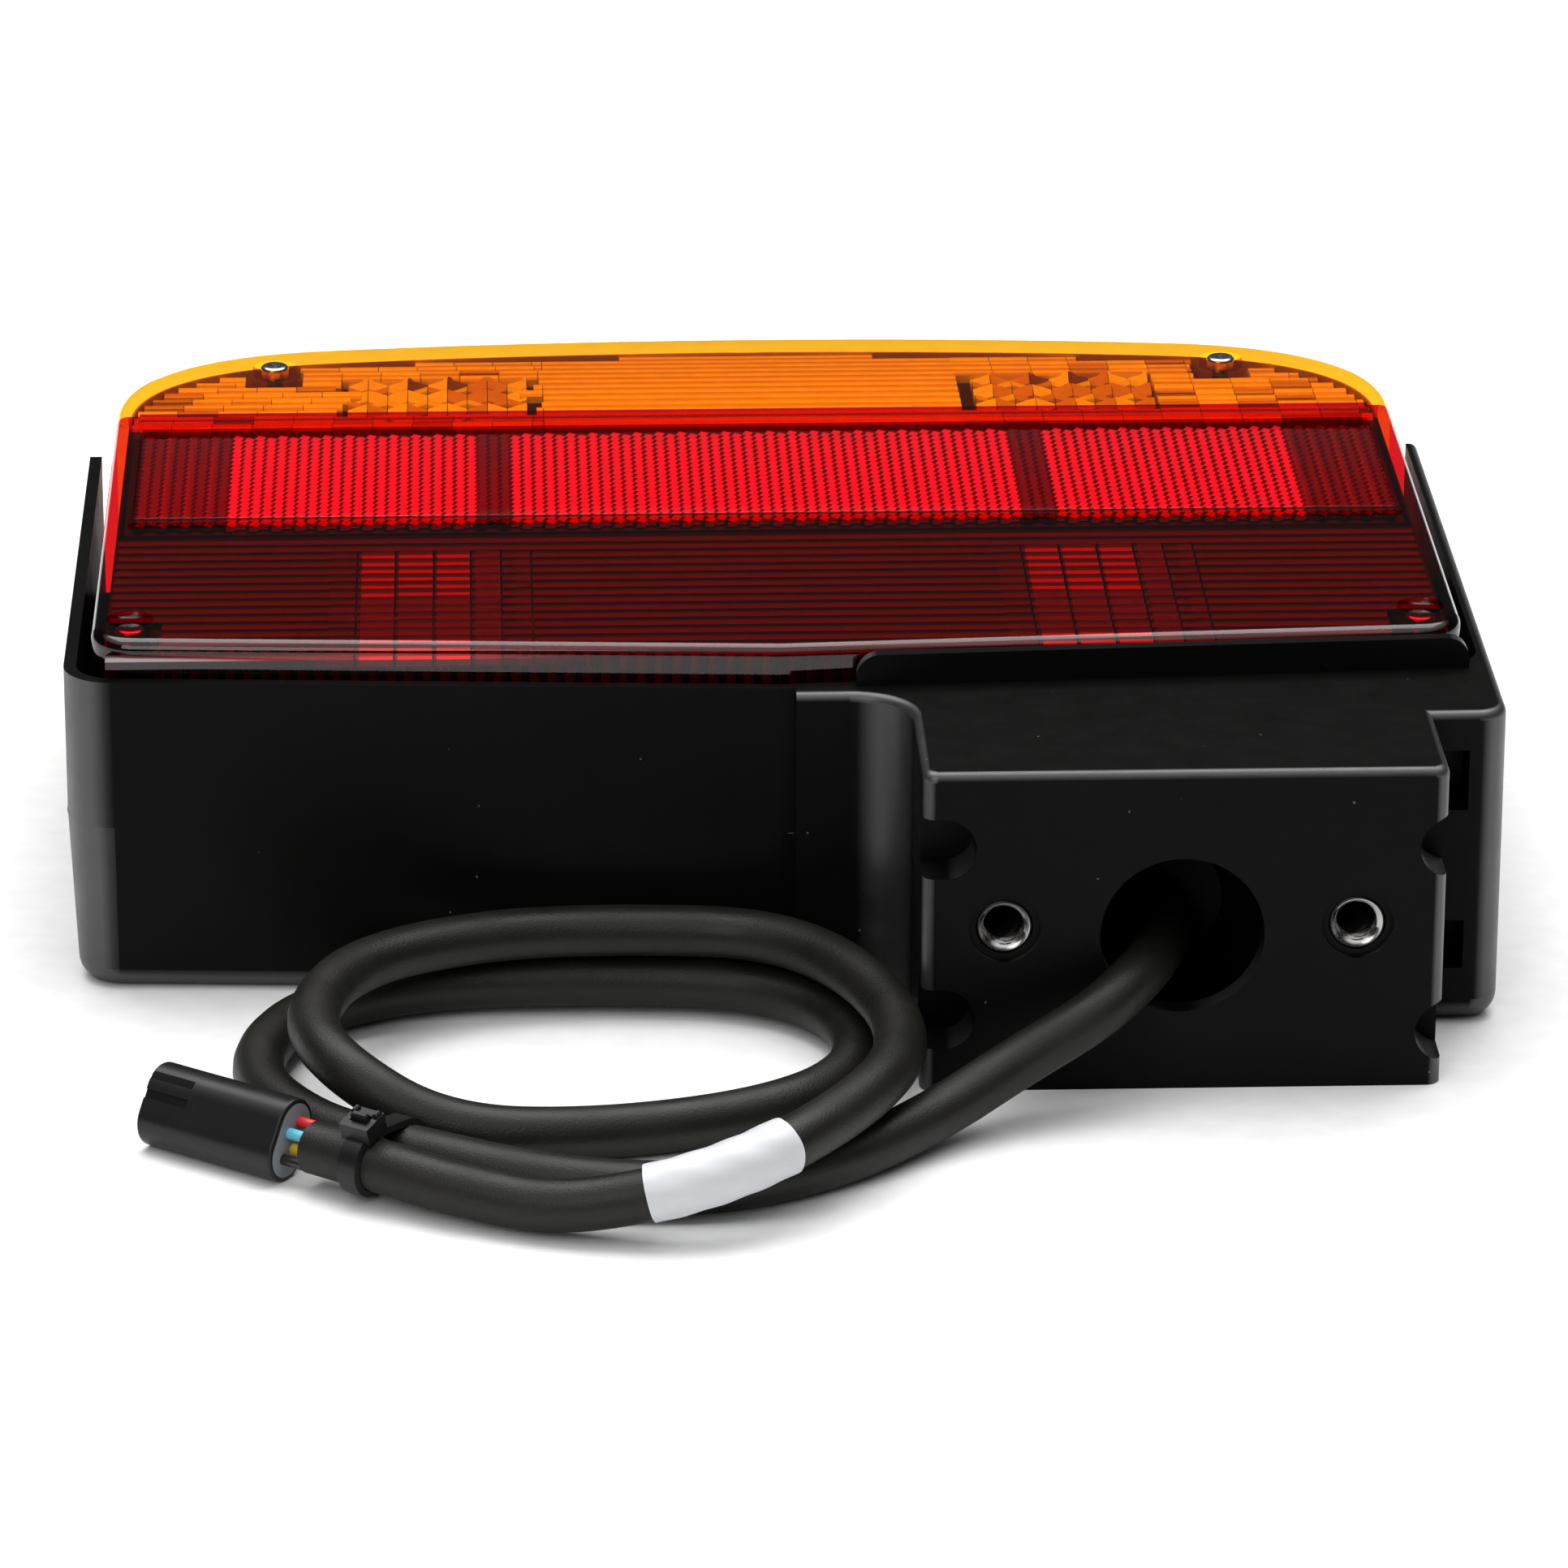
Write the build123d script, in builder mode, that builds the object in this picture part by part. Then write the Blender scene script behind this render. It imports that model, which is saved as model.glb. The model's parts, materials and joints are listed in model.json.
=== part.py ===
"""Trailer tail light lying on its back: lens up (+Z), bolt-on foot towards -Y, cable on the ground.

Units are millimetres.  The origin is the middle of the lamp's footprint (the cable not counted),
on the surface that the flat back rests on.  All y values below are measured from the front wall of
the housing, at its corners, and at(x, y) turns them into the part's own frame.
"""
from build123d import *
from math import cos, pi, radians, sin, sqrt, tan
import os

os.makedirs("parts", exist_ok=True)

# ---------------------------------------------------------------- driving dimensions
# housing
half_width = 124.4        # side face of the housing
rim_z = 58.0              # top of the housing's rim
pad_reach = 48.4          # the foot's bolting face stands this far before the front wall
body_reach = 181.0        # from the front wall to the far end of the lens
vee = 6.7                 # the front wall is a shallow V, this deep at the middle
wall = 2.2                # housing wall
floor_t = 2.5             # housing back
draft = 2.5               # degrees, below the parting line
corner_r = 9.0            # upright corners of the front wall
back_edge = 4.0           # rounding all round the back
seat_z = 31.0             # shelf that carries the lens gasket, level with the parting line
shelf_t = 2.5
shelf_w = 5.0
fit_gap = 0.3             # running gap between pieces on different bodies

# lens
lens_side_gap = 4.8       # lens side face inside the housing's side face
lens_front_gap = 3.4      # lens front face behind the housing's front face
lens_t = 2.4
lens_top = 64.4
lens_corner = 8.0
far_radius = 430.0        # long arc of the far edge
far_corner = 46.0         # arc that joins the far edge to the sides
far_drop = 4.6            # the amber zone falls this much towards the far edge
lens_edge = 2.2           # rounding along the top edge of the lens
gasket_t = 1.5
gasket_w = 3.0
amber_depth = 57.4        # from the colour joint to the far end
joint_rib = 5.6           # from the reflex band to the colour joint
band_depth = 54.0
rib_w = 2.4
rib_h = 0.5
reflex_margin = 5.1       # reflex band inside the lens's side face
reflex_lap = 1.5          # its flange under the lens
reflex_t = 3.0
backing_t = 1.2
wing_past_band = 1.6      # the side walls stop this far behind the band

# lens screws: distance inside the lens's side face, and depth behind the front wall or inside the far arc
near_inset, near_depth = 6.7, 14.2
far_inset, far_depth = 28.9, 12.925
well_r = 4.1
well_depth = 3.6
post_r = 5.0
post_short = 3.5          # posts stop this far below the lens top, where the well starts
screw_head_r = 2.7
screw_head_t = 2.0
screw_r = 1.45
screw_len = 42.0
screw_clear = 0.05        # in the boss
screw_free = 0.2          # in the lens
recess_long, recess_wide, recess_deep = 3.2, 0.75, 1.2
boss_r = 4.6
boss_tip_r = 3.3

# foot
column_w = 13.1           # column beside the pad
pad_w = 89.1
column_y = -22.0          # front face of the column
step_before_pad = 19.7    # shallow step where the foot's thick wall starts
step_y = -9.6
step_fillet = 10.5
pad_t = 4.0
pad_edge = 2.5            # rounding of the pad's upright edges
foot_edge = 1.6           # rounding along the top of the foot
column_edge = 5.0
column_foot = 4.6         # rounding under the column
foot_floor = 3.0
foot_roof = 3.2
hollow_side = 7.8         # wall beside the foot's hollow
hollow_back = -6.0
insert_wall = 2.4         # plastic behind the inserts
insert_side = 10.5        # plastic beside the inserts
lip_top = 63.6
lip_t = 2.6
lip_before_pad = 9.2
lip_side = 4.4            # the lip stops this far inside the side face
insert_spacing = 60.0
insert_offset = 58.1      # middle of the inserts inside the side face
insert_z = 29.8
insert_r = 4.9
insert_len = 12.0
insert_bore = 3.4         # M8 tapping size
insert_sink = 1.0
recess_r = 6.1
cable_hole_shift = 0.2    # cable hole beside the middle of the inserts
cable_hole_z, cable_hole_r = 28.2, 14.0
scallop_r = 5.4
scallop_depth = 9.0
left_scallop_in, right_scallop_out = 3.8, 0.7
left_scallop_z = (44.3, 13.2)
right_scallop_z = (43.6, 9.8)
column_slots = ((40.0, 51.0), (10.5, 19.5))
slot_side, slot_w, slot_depth = 8.8, 4.4, 9.0

# cable, gland and cable hole
cable_r = 4.5
gland_drop = 4.2          # top of the gland's body below the lens's shelf
gland_wall = 3.5
gland_flange_w = 2.5
gland_lip = 2.0
gland_len = 7.5
tail_len = 26.0

# bulbs and sockets
bulb_x = 59.5
bulb_near = 34.0          # stop bulbs
bulb_past_joint = 19.9    # turn bulbs behind the colour joint
base_r = 7.5
base_len = 19.0
base_gap = 0.3
socket_wall = 1.8
socket_floor = 2.0
socket_h = 19.0
pin_r = 1.0
pin_out = 1.5
pin_z = 12.5              # bayonet pins above the back's inner face
twist = 20.0              # degrees from locked to free
slot_play = 0.25          # bayonet slots wider than the pins
slot_lead = 9.0           # degrees past the locked place
contact_r = 3.0
contact_h = 1.6
contact_gap = 0.25
strip_w, strip_t = 8.0, 0.8
bulb_glass_r = 12.5
bulb_neck = 1.2           # the glass is this much slimmer than the cap where it enters
bulb_top = 56.5

# reflector panel, divider and vent
panel_z = 23.5
panel_t = 1.6
panel_gap = 0.8           # panel inside the shelf's opening
cup_gap = 0.6             # panel clear of the sockets
cup_wall = 1.4
cup_h = 3.0               # rim of the panel around each bulb
post_x, near_post, post_past_joint = 24.0, 18.0, 6.4
panel_post_r = 4.0
panel_head_r, panel_head_t = 2.8, 1.8
panel_screw_r = 1.3
panel_screw_len = 9.0
divider_t = 1.6
divider_before_joint = 2.0
divider_foot = (10.0, 8.0)
divider_feet = (-80.0, 0.0, 80.0)
vent_spot = (0.0, 88.0)
vent_r = 4.0
vent_lip = 1.5

# what is on the cable
label_t = 0.35
tie_shift = 2.5
tie_mid_z = 6.6
tie_span = 21.6           # between the outer strands that the tie holds
tie_slack = 1.05
tie_t = 1.0
tie_w = 4.0
tie_head = (5.4, 4.0)
tie_head_at = 4.5
wire_r = 0.95
wire_gap = 4.5            # bare wires between sheath and connector
wire_grip = 4.0
wires = {"wire_red": (3.4, 0.6), "wire_blue": (1.0, -1.2), "wire_black": (-3.4, -0.6), "wire_yellow": (-1.2, 1.2)}
connector_w = 14.4
connector_h = 9.6
connector_len = 28.0
connector_wall = 0.8
connector_roll = 32.0
seal_t = 2.5
socket_depth = 11.0
key_spots = (4.2, 0.8)
key_size = (1.5, 1.3)
key_len = 9.0
contact_pin_r = 0.7
pin_short = 3.0           # contact pins stop this far inside the connector's mouth

# ---------------------------------------------------------------- derived places
front_y = pad_reach - (pad_reach + body_reach) / 2
lens_half = half_width - lens_side_gap
lens_foot = seat_z + gasket_t
colour_split = body_reach - amber_depth      # red in front of it, amber behind it
band_far = colour_split - joint_rib
band_near = band_far - band_depth
wing_end = band_far + wing_past_band
near_screw = (lens_half - near_inset, near_depth)
far_screw_x = lens_half - far_inset
far_screw = (far_screw_x, body_reach - far_radius + sqrt(far_radius**2 - far_screw_x**2) - far_depth)
screw_spots = [(s * x, y) for x, y in (near_screw, far_screw) for s in (-1, 1)]
bulb_rows = (bulb_near, colour_split + bulb_past_joint)
bulb_spots = [(s * bulb_x, y) for y in bulb_rows for s in (-1, 1)]
socket_r = base_r + base_gap + socket_wall
panel_posts = [(s * post_x, y) for y in (near_post, colour_split + post_past_joint) for s in (-1, 1)]
pad_right = half_width - column_w
pad_left = pad_right - pad_w
step_x = pad_left - step_before_pad
lip_left, lip_right = pad_left - lip_before_pad, half_width - lip_side
insert_mid = half_width - insert_offset
insert_x = [insert_mid - insert_spacing / 2, insert_mid + insert_spacing / 2]
cable_hole_x = insert_mid + cable_hole_shift
thick_pad_y = insert_sink + insert_len + insert_wall - pad_reach
left_scallops = [(pad_left + left_scallop_in, z) for z in left_scallop_z]
right_scallops = [(pad_right + right_scallop_out, z) for z in right_scallop_z]
slot_x = half_width - slot_side
gland_r = cable_r + gland_wall
gland_z = seat_z - gland_drop - gland_r
tie_inner = cable_r + tie_slack


def at(x, y, z=0.0):
    """A point given by its distance behind the front wall, in the part's own frame."""
    return (x, front_y + y, z)


def flat(z):
    """Horizontal working plane at height z whose origin sits on the front wall."""
    return Plane(origin=at(0, 0, z), x_dir=(1, 0, 0), z_dir=(0, 0, 1))


def facing(y):
    """Upright working plane at depth y: local x is +X, local y is +Z, normal is -Y."""
    return Plane(origin=at(0, y), x_dir=(1, 0, 0), z_dir=(0, -1, 0))


def lip_front(x):
    """Front face of the raised lip, which follows the V of the front wall."""
    return wall + 0.4 - lip_t - vee * (1 - abs(x) / half_width)


def on_split(edge):
    """True for the joint line where the flat and the falling part of the lens top meet."""
    return abs(edge.center().Y - front_y - colour_split) < 1 and abs(edge.center().X) < 1


def finish(part, name):
    """Label a piece and write it as one STEP file."""
    part.label = name
    export_step(part, f"parts/{name}.step")


def lens_outline(inset=0.0):
    """Plan of the lens: shallow V in front, straight sides, long arc behind."""
    side = lens_half - inset
    near = lens_front_gap + inset
    far = body_reach - inset
    bow = far_radius - sqrt(far_radius**2 - lens_half**2)
    with BuildSketch(Plane.XY) as plan:
        with BuildLine():
            Polyline((-side, far - bow), (-side, near), (0, near - vee), (side, near), (side, far - bow))
            ThreePointArc((side, far - bow), (0, far), (-side, far - bow))
        make_face()
        near_pts = plan.vertices().sort_by(Axis.Y).group_by(Axis.Y)[1]
        fillet(near_pts, lens_corner - min(inset, lens_corner - 1.0))
        far_pts = plan.vertices().sort_by(Axis.Y)[-2:]
        fillet(far_pts, far_corner - inset)
    return plan.sketch


def shroud_outline(inset=0.0, reach=0.0):
    """Plan of the housing in front of the wing ends."""
    side = half_width - inset
    near = inset
    with BuildSketch(Plane.XY) as plan:
        with BuildLine():
            Polyline(
                (-side, wing_end + reach), (-side, near), (0, near - vee), (side, near),
                (side, wing_end + reach), close=True,
            )
        make_face()
        corners = plan.vertices().group_by(Axis.Y)[1]
        fillet(corners, corner_r - inset)
    return plan.sketch


def lens_profile(drop):
    """Side view of the lens top: flat over the red zone, falling in an arc over the amber zone."""
    top = lens_top - drop
    run = body_reach - colour_split
    arc = (run**2 + far_drop**2) / (2 * far_drop)
    beyond = run + 15
    low = top - arc + sqrt(arc**2 - beyond**2)
    with BuildSketch(Plane.XY) as side:
        with BuildLine():
            TangentArc((colour_split, top), (colour_split + beyond, low), tangent=(1, 0))
            Polyline(
                (colour_split + beyond, low), (colour_split + beyond, -10), (-40, -10), (-40, top),
                (colour_split, top),
            )
        make_face()
    return side.sketch


# ---------------------------------------------------------------- housing
with BuildPart() as housing:
    # front wall and side wings above the parting line
    with BuildSketch(flat(seat_z)):
        add(shroud_outline())
    extrude(amount=rim_z - seat_z)
    # tray below it, drafted towards the back
    with BuildSketch(flat(seat_z)):
        add(shroud_outline())
        add(lens_outline())
    extrude(amount=-seat_z, taper=draft)
    fillet(housing.edges().group_by(Axis.Z)[0], back_edge)
    # the foot with its step, pad and column
    with BuildSketch(flat(0)) as foot_plan:
        with BuildLine():
            Polyline(
                (step_x, 4), (step_x, step_y), (pad_left, step_y), (pad_left, -pad_reach),
                (pad_right, -pad_reach), (pad_right, column_y), (half_width, column_y),
                (half_width, 12), close=True,
            )
        make_face()
        inner = foot_plan.vertices().filter_by_position(Axis.Y, step_y - 0.1, step_y + 0.1)
        fillet(inner.sort_by(Axis.X)[-1], step_fillet)
        fillet(inner.sort_by(Axis.X)[0], 1.5)
        beside = foot_plan.vertices().filter_by_position(Axis.Y, column_y - 0.1, column_y + 0.1)
        fillet(beside.sort_by(Axis.X)[-1], column_edge)
        fillet(beside.sort_by(Axis.X)[0], 2.0)
        fillet(foot_plan.vertices().group_by(Axis.Y)[0], pad_edge)
    extrude(amount=rim_z)
    under_column = housing.edges().filter_by_position(Axis.Z, -0.1, 0.1).filter_by(
        lambda e: e.center().X > pad_right + 1 and e.center().Y < front_y - 5
    )
    fillet(under_column, column_foot)
    top_edges = housing.edges().filter_by_position(Axis.Z, rim_z - 0.1, rim_z + 0.1)
    fillet(top_edges.filter_by(lambda e: e.center().Y < front_y - 8.5), foot_edge)
    # raised lip that covers the front of the lens above the foot
    with BuildSketch(flat(rim_z - 1)):
        with BuildLine():
            Polyline(
                (lip_left, lip_front(lip_left)), (lip_right, lip_front(lip_right)),
                (lip_right, lip_front(lip_right) + lip_t), (lip_left, lip_front(lip_left) + lip_t),
                close=True,
            )
        make_face()
    extrude(amount=lip_top - rim_z + 1)
    lip_ends = housing.edges().filter_by(Axis.Y).filter_by_position(Axis.Z, lip_top - 0.1, lip_top + 0.1)
    fillet(lip_ends, 4.0)
    # room for the lens inside the wings, open behind and above
    with BuildSketch(flat(seat_z)):
        add(shroud_outline(wall, 20))
    extrude(amount=lip_top, mode=Mode.SUBTRACT)
    # lamp chamber: opening inside the shelf, and the wider hollow below the shelf
    with BuildSketch(flat(floor_t)):
        add(lens_outline(shelf_w))
    extrude(amount=seat_z, mode=Mode.SUBTRACT)
    with BuildSketch(flat(floor_t)):
        add(lens_outline(wall + 0.6))
    extrude(amount=seat_z - shelf_t - floor_t, mode=Mode.SUBTRACT)
    # hollow of the foot behind a pad that is thick around the inserts
    hollow_left, hollow_right = pad_left + hollow_side, pad_right - hollow_side
    mid_left, mid_right = insert_x[0] + insert_side, insert_x[1] - insert_side
    with BuildSketch(flat(foot_floor)) as hollow:
        with BuildLine():
            Polyline(
                (hollow_left, hollow_back), (hollow_left, thick_pad_y), (mid_left, thick_pad_y),
                (mid_left, pad_t - pad_reach), (mid_right, pad_t - pad_reach), (mid_right, thick_pad_y),
                (hollow_right, thick_pad_y), (hollow_right, hollow_back), close=True,
            )
        make_face()
        fillet(hollow.vertices(), 2.0)
    extrude(amount=rim_z - foot_roof - foot_floor, mode=Mode.SUBTRACT)
    # cable hole, insert holes and tool recesses in the pad
    with BuildSketch(facing(-pad_reach)):
        with Locations((cable_hole_x, cable_hole_z)):
            Circle(cable_hole_r)
    extrude(amount=-pad_t - 1, mode=Mode.SUBTRACT)
    with BuildSketch(facing(-pad_reach)):
        with Locations(*[(x, insert_z) for x in insert_x]):
            Circle(recess_r)
    extrude(amount=-insert_sink, mode=Mode.SUBTRACT)
    with BuildSketch(facing(-pad_reach)):
        with Locations(*[(x, insert_z) for x in insert_x]):
            Circle(insert_r)
    extrude(amount=-insert_sink - insert_len, mode=Mode.SUBTRACT)
    with BuildSketch(facing(-pad_reach)):
        with Locations(*left_scallops, *right_scallops):
            Circle(scallop_r)
        with Locations(*[(x - scallop_r, z) for x, z in left_scallops]):
            Rectangle(2 * scallop_r, 2 * scallop_r)
        with Locations(*[(x + scallop_r, z) for x, z in right_scallops]):
            Rectangle(2 * scallop_r, 2 * scallop_r)
    extrude(amount=-scallop_depth, mode=Mode.SUBTRACT)
    # two drain slots in the front of the column
    with BuildSketch(facing(column_y)):
        for low, high in column_slots:
            with Locations((slot_x, (low + high) / 2)):
                Rectangle(slot_w, high - low)
    extrude(amount=-slot_depth, mode=Mode.SUBTRACT)
    # gland hole through the partition between foot and chamber
    with BuildSketch(facing(hollow_back)):
        with Locations((cable_hole_x, gland_z)):
            Circle(gland_r)
    extrude(amount=-gland_len - wall - shelf_w, mode=Mode.SUBTRACT)
    # bosses for the lens screws and posts for the reflector panel
    with BuildSketch(flat(floor_t - 0.5)):
        with Locations(*screw_spots):
            Circle(boss_r)
        with Locations(*panel_posts):
            Circle(panel_post_r)
    extrude(amount=panel_z - floor_t + 0.5)
    with BuildSketch(flat(panel_z - 1)):
        with Locations(*screw_spots):
            Circle(boss_tip_r)
    extrude(amount=lens_foot - fit_gap - panel_z + 1)
    with BuildSketch(flat(lens_foot)):
        with Locations(*screw_spots):
            Circle(screw_r + screw_clear)
    extrude(amount=-(screw_len - lens_top + well_depth + lens_foot + 1), mode=Mode.SUBTRACT)
    with BuildSketch(flat(panel_z)):
        with Locations(*panel_posts):
            Circle(panel_screw_r)
    extrude(amount=-panel_screw_len, mode=Mode.SUBTRACT)
    # breather hole through the back
    with BuildSketch(flat(0)):
        with Locations(vent_spot):
            Circle(vent_r)
    extrude(amount=floor_t, mode=Mode.SUBTRACT)
finish(housing.part, "housing")

# ---------------------------------------------------------------- lens
with BuildPart() as lens_shell:
    with BuildSketch(flat(lens_foot)):
        add(lens_outline())
    extrude(amount=lens_top)
    with BuildSketch(Plane(origin=at(-half_width, 0), x_dir=(0, 1, 0), z_dir=(1, 0, 0))):
        add(lens_profile(0.0))
    extrude(amount=2 * half_width, mode=Mode.INTERSECT)
    upper = lens_shell.edges().filter_by(lambda e: e.center().Z > lens_top - 7 and not on_split(e))
    fillet(upper, lens_edge)

with BuildPart() as lens_core:
    with BuildSketch(flat(lens_foot)):
        add(lens_outline(lens_t))
    extrude(amount=lens_top)
    with BuildSketch(Plane(origin=at(-half_width, 0), x_dir=(0, 1, 0), z_dir=(1, 0, 0))):
        add(lens_profile(lens_t))
    extrude(amount=2 * half_width, mode=Mode.INTERSECT)


def lens_piece(near, far, spots, ribs):
    """The part of the lens between two depths, with its screw posts and raised ribs."""
    with BuildPart() as piece:
        add(lens_shell.part)
        add(lens_core.part, mode=Mode.SUBTRACT)
        with BuildSketch(flat(lens_foot)):
            with Locations(*spots):
                Circle(post_r)
        extrude(amount=lens_top - lens_foot - post_short)
        with BuildSketch(flat(lens_top + 1)):
            with Locations(*spots):
                Circle(well_r)
        extrude(amount=-well_depth - 1, mode=Mode.SUBTRACT)
        with BuildSketch(flat(0)):
            with Locations(*spots):
                Circle(screw_r + screw_free)
        extrude(amount=lens_top, mode=Mode.SUBTRACT)
        for y in ribs:
            with Locations(at(0, y, lens_top)):
                Box(2 * lens_half - 9, rib_w, 2 * rib_h)
        with BuildSketch(flat(0)):
            with Locations((0, (near + far) / 2)):
                Rectangle(3 * half_width, far - near)
        extrude(amount=2 * lens_top, mode=Mode.INTERSECT)
    return piece.part


near_spots = screw_spots[:2]
far_spots = screw_spots[2:]
reflex_w = 2 * (lens_half - reflex_margin)
reflex_mid = (band_near + band_far) / 2 + rib_w / 4
reflex_d = band_depth - rib_w - rib_w / 2
with BuildPart() as lens_red:
    add(lens_piece(-pad_reach, colour_split, near_spots, (band_near, band_far + rib_w / 2, colour_split - rib_w / 2)))
    with BuildSketch(flat(lens_top - lens_t - 1)):
        with Locations((0, reflex_mid)):
            Rectangle(reflex_w, reflex_d)
    extrude(amount=lens_t + 2, mode=Mode.SUBTRACT)
finish(lens_red.part, "lens_red")

lens_amber = lens_piece(colour_split, body_reach + amber_depth, far_spots, ())
finish(lens_amber, "lens_amber")

# ---------------------------------------------------------------- reflex band
with BuildPart() as reflex_reflector:
    with BuildSketch(flat(lens_top)):
        with Locations((0, reflex_mid)):
            Rectangle(reflex_w, reflex_d)
    extrude(amount=-reflex_t)
    with BuildSketch(flat(lens_top - lens_t)):
        with Locations((0, reflex_mid)):
            Rectangle(reflex_w + 2 * reflex_lap, reflex_d + reflex_lap)
    extrude(amount=lens_t - reflex_t)
finish(reflex_reflector.part, "reflex_reflector")

with BuildPart() as reflex_backing:
    with BuildSketch(flat(lens_top - reflex_t)) as backing_plan:
        with Locations((0, reflex_mid)):
            Rectangle(reflex_w + 2 * reflex_lap, reflex_d + reflex_lap)
        fillet(backing_plan.vertices(), 1.0)
    extrude(amount=-backing_t)
finish(reflex_backing.part, "reflex_backing")

# ---------------------------------------------------------------- gasket and fasteners
with BuildPart() as lens_gasket:
    with BuildSketch(flat(seat_z)):
        add(lens_outline(-fit_gap))
        add(lens_outline(gasket_w), mode=Mode.SUBTRACT)
    extrude(amount=gasket_t)
finish(lens_gasket.part, "lens_gasket")

head_z = lens_top - well_depth
with BuildPart() as lens_screws:
    with BuildSketch(flat(head_z)):
        with Locations(*screw_spots):
            Circle(screw_head_r)
    extrude(amount=screw_head_t)
    fillet(lens_screws.edges().group_by(Axis.Z)[-1], 0.8)
    with BuildSketch(flat(head_z)):
        with Locations(*screw_spots):
            Circle(screw_r)
    extrude(amount=-screw_len)
    for angle in (0, 90):
        with BuildSketch(flat(head_z + screw_head_t)):
            with Locations(*screw_spots):
                Rectangle(recess_long, recess_wide, rotation=angle)
        extrude(amount=-recess_deep, mode=Mode.SUBTRACT)
finish(lens_screws.part, "lens_screws")

with BuildPart() as threaded_inserts:
    with BuildSketch(facing(insert_sink - pad_reach)):
        with Locations(*[(x, insert_z) for x in insert_x]):
            Circle(insert_r)
            Circle(insert_bore, mode=Mode.SUBTRACT)
    extrude(amount=-insert_len)
finish(threaded_inserts.part, "threaded_inserts")

with BuildPart() as vent_plug:
    with BuildSketch(flat(fit_gap)):
        with Locations(vent_spot):
            Circle(vent_r)
    extrude(amount=floor_t - fit_gap)
    with BuildSketch(flat(floor_t)):
        with Locations(vent_spot):
            Circle(vent_r + vent_lip)
    extrude(amount=vent_lip)
    with BuildSketch(flat(0)):
        with Locations(vent_spot):
            Circle(0.8)
    extrude(amount=2.2, mode=Mode.SUBTRACT)
finish(vent_plug.part, "vent_plug")

# ---------------------------------------------------------------- inside: panel, divider, sockets
panel_inset = shelf_w + panel_gap
with BuildPart() as reflector_panel:
    with BuildSketch(flat(panel_z)):
        add(lens_outline(panel_inset))
        with Locations(*screw_spots):
            Circle(boss_r + 0.5, mode=Mode.SUBTRACT)
        with Locations(*bulb_spots):
            Circle(socket_r + cup_gap, mode=Mode.SUBTRACT)
    extrude(amount=panel_t)
    with BuildSketch(flat(panel_z)):
        with Locations(*panel_posts):
            Circle(panel_screw_r + 0.2)
    extrude(amount=panel_t, mode=Mode.SUBTRACT)
    for x, y in bulb_spots:
        with BuildSketch(flat(panel_z + panel_t)):
            with Locations((x, y)):
                Circle(socket_r + cup_gap + cup_wall)
                Circle(socket_r + cup_gap, mode=Mode.SUBTRACT)
        extrude(amount=cup_h)
finish(reflector_panel.part, "reflector_panel")

with BuildPart() as panel_screws:
    with BuildSketch(flat(panel_z + panel_t)):
        with Locations(*panel_posts):
            Circle(panel_head_r)
    extrude(amount=panel_head_t)
    fillet(panel_screws.edges().group_by(Axis.Z)[-1], 0.7)
    with BuildSketch(flat(panel_z + panel_t)):
        with Locations(*panel_posts):
            Circle(panel_screw_r)
    extrude(amount=-panel_t - panel_screw_len + 1)
    for angle in (0, 90):
        with BuildSketch(flat(panel_z + panel_t + panel_head_t)):
            with Locations(*panel_posts):
                Rectangle(recess_long, recess_wide, rotation=angle)
        extrude(amount=-recess_deep, mode=Mode.SUBTRACT)
finish(panel_screws.part, "panel_screws")

divider_y = colour_split - divider_before_joint
with BuildPart() as chamber_divider:
    with BuildSketch(flat(panel_z + panel_t)):
        with Locations((0, divider_y)):
            Rectangle(2 * (lens_half - panel_inset) - 6, divider_t)
    extrude(amount=lens_top - lens_t - divider_t - panel_z - panel_t)
    with BuildSketch(flat(panel_z + panel_t)):
        with Locations(*[(x, divider_y - divider_foot[1] / 2) for x in divider_feet]):
            Rectangle(*divider_foot)
    extrude(amount=divider_t)
finish(chamber_divider.part, "chamber_divider")

slot_half = pin_r + slot_play
slot_reach = 1.4 * socket_r
with BuildPart() as bulb_sockets:
    with BuildSketch(flat(floor_t)):
        with Locations(*bulb_spots):
            Circle(socket_r)
    extrude(amount=socket_h)
    with BuildSketch(flat(floor_t + socket_floor)):
        with Locations(*bulb_spots):
            Circle(base_r + base_gap)
    extrude(amount=socket_h, mode=Mode.SUBTRACT)
    for x, y in bulb_spots:
        for turn in (0, 180):
            # way in from the top, then a level leg to the locked place
            middle = Plane(
                origin=at(x, y, floor_t + pin_z), x_dir=(cos(radians(turn - twist)), sin(radians(turn - twist)), 0),
                z_dir=(0, 0, 1),
            )
            with BuildSketch(middle.offset(-slot_half)):
                with Locations((socket_r, 0)):
                    Rectangle(socket_wall * 3, 2 * slot_half)
            extrude(amount=socket_h, mode=Mode.SUBTRACT)
            with BuildSketch(middle.offset(-slot_half)):
                with BuildLine():
                    lead = radians(twist + slot_lead)
                    far_x, far_y = slot_reach * cos(lead), slot_reach * sin(lead)
                    Polyline((0, 0), (slot_reach, 0), (far_x, far_y), (0, 0))
                make_face()
                Circle(base_r - base_gap, mode=Mode.SUBTRACT)
            extrude(amount=2 * slot_half, mode=Mode.SUBTRACT)
finish(bulb_sockets.part, "bulb_sockets")

with BuildPart() as contact_springs:
    with BuildSketch(flat(floor_t + socket_floor)):
        with Locations(*bulb_spots):
            Circle(contact_r)
    extrude(amount=contact_h)
    fillet(contact_springs.edges().group_by(Axis.Z)[-1], 0.8)
finish(contact_springs.part, "contact_springs")

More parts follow.
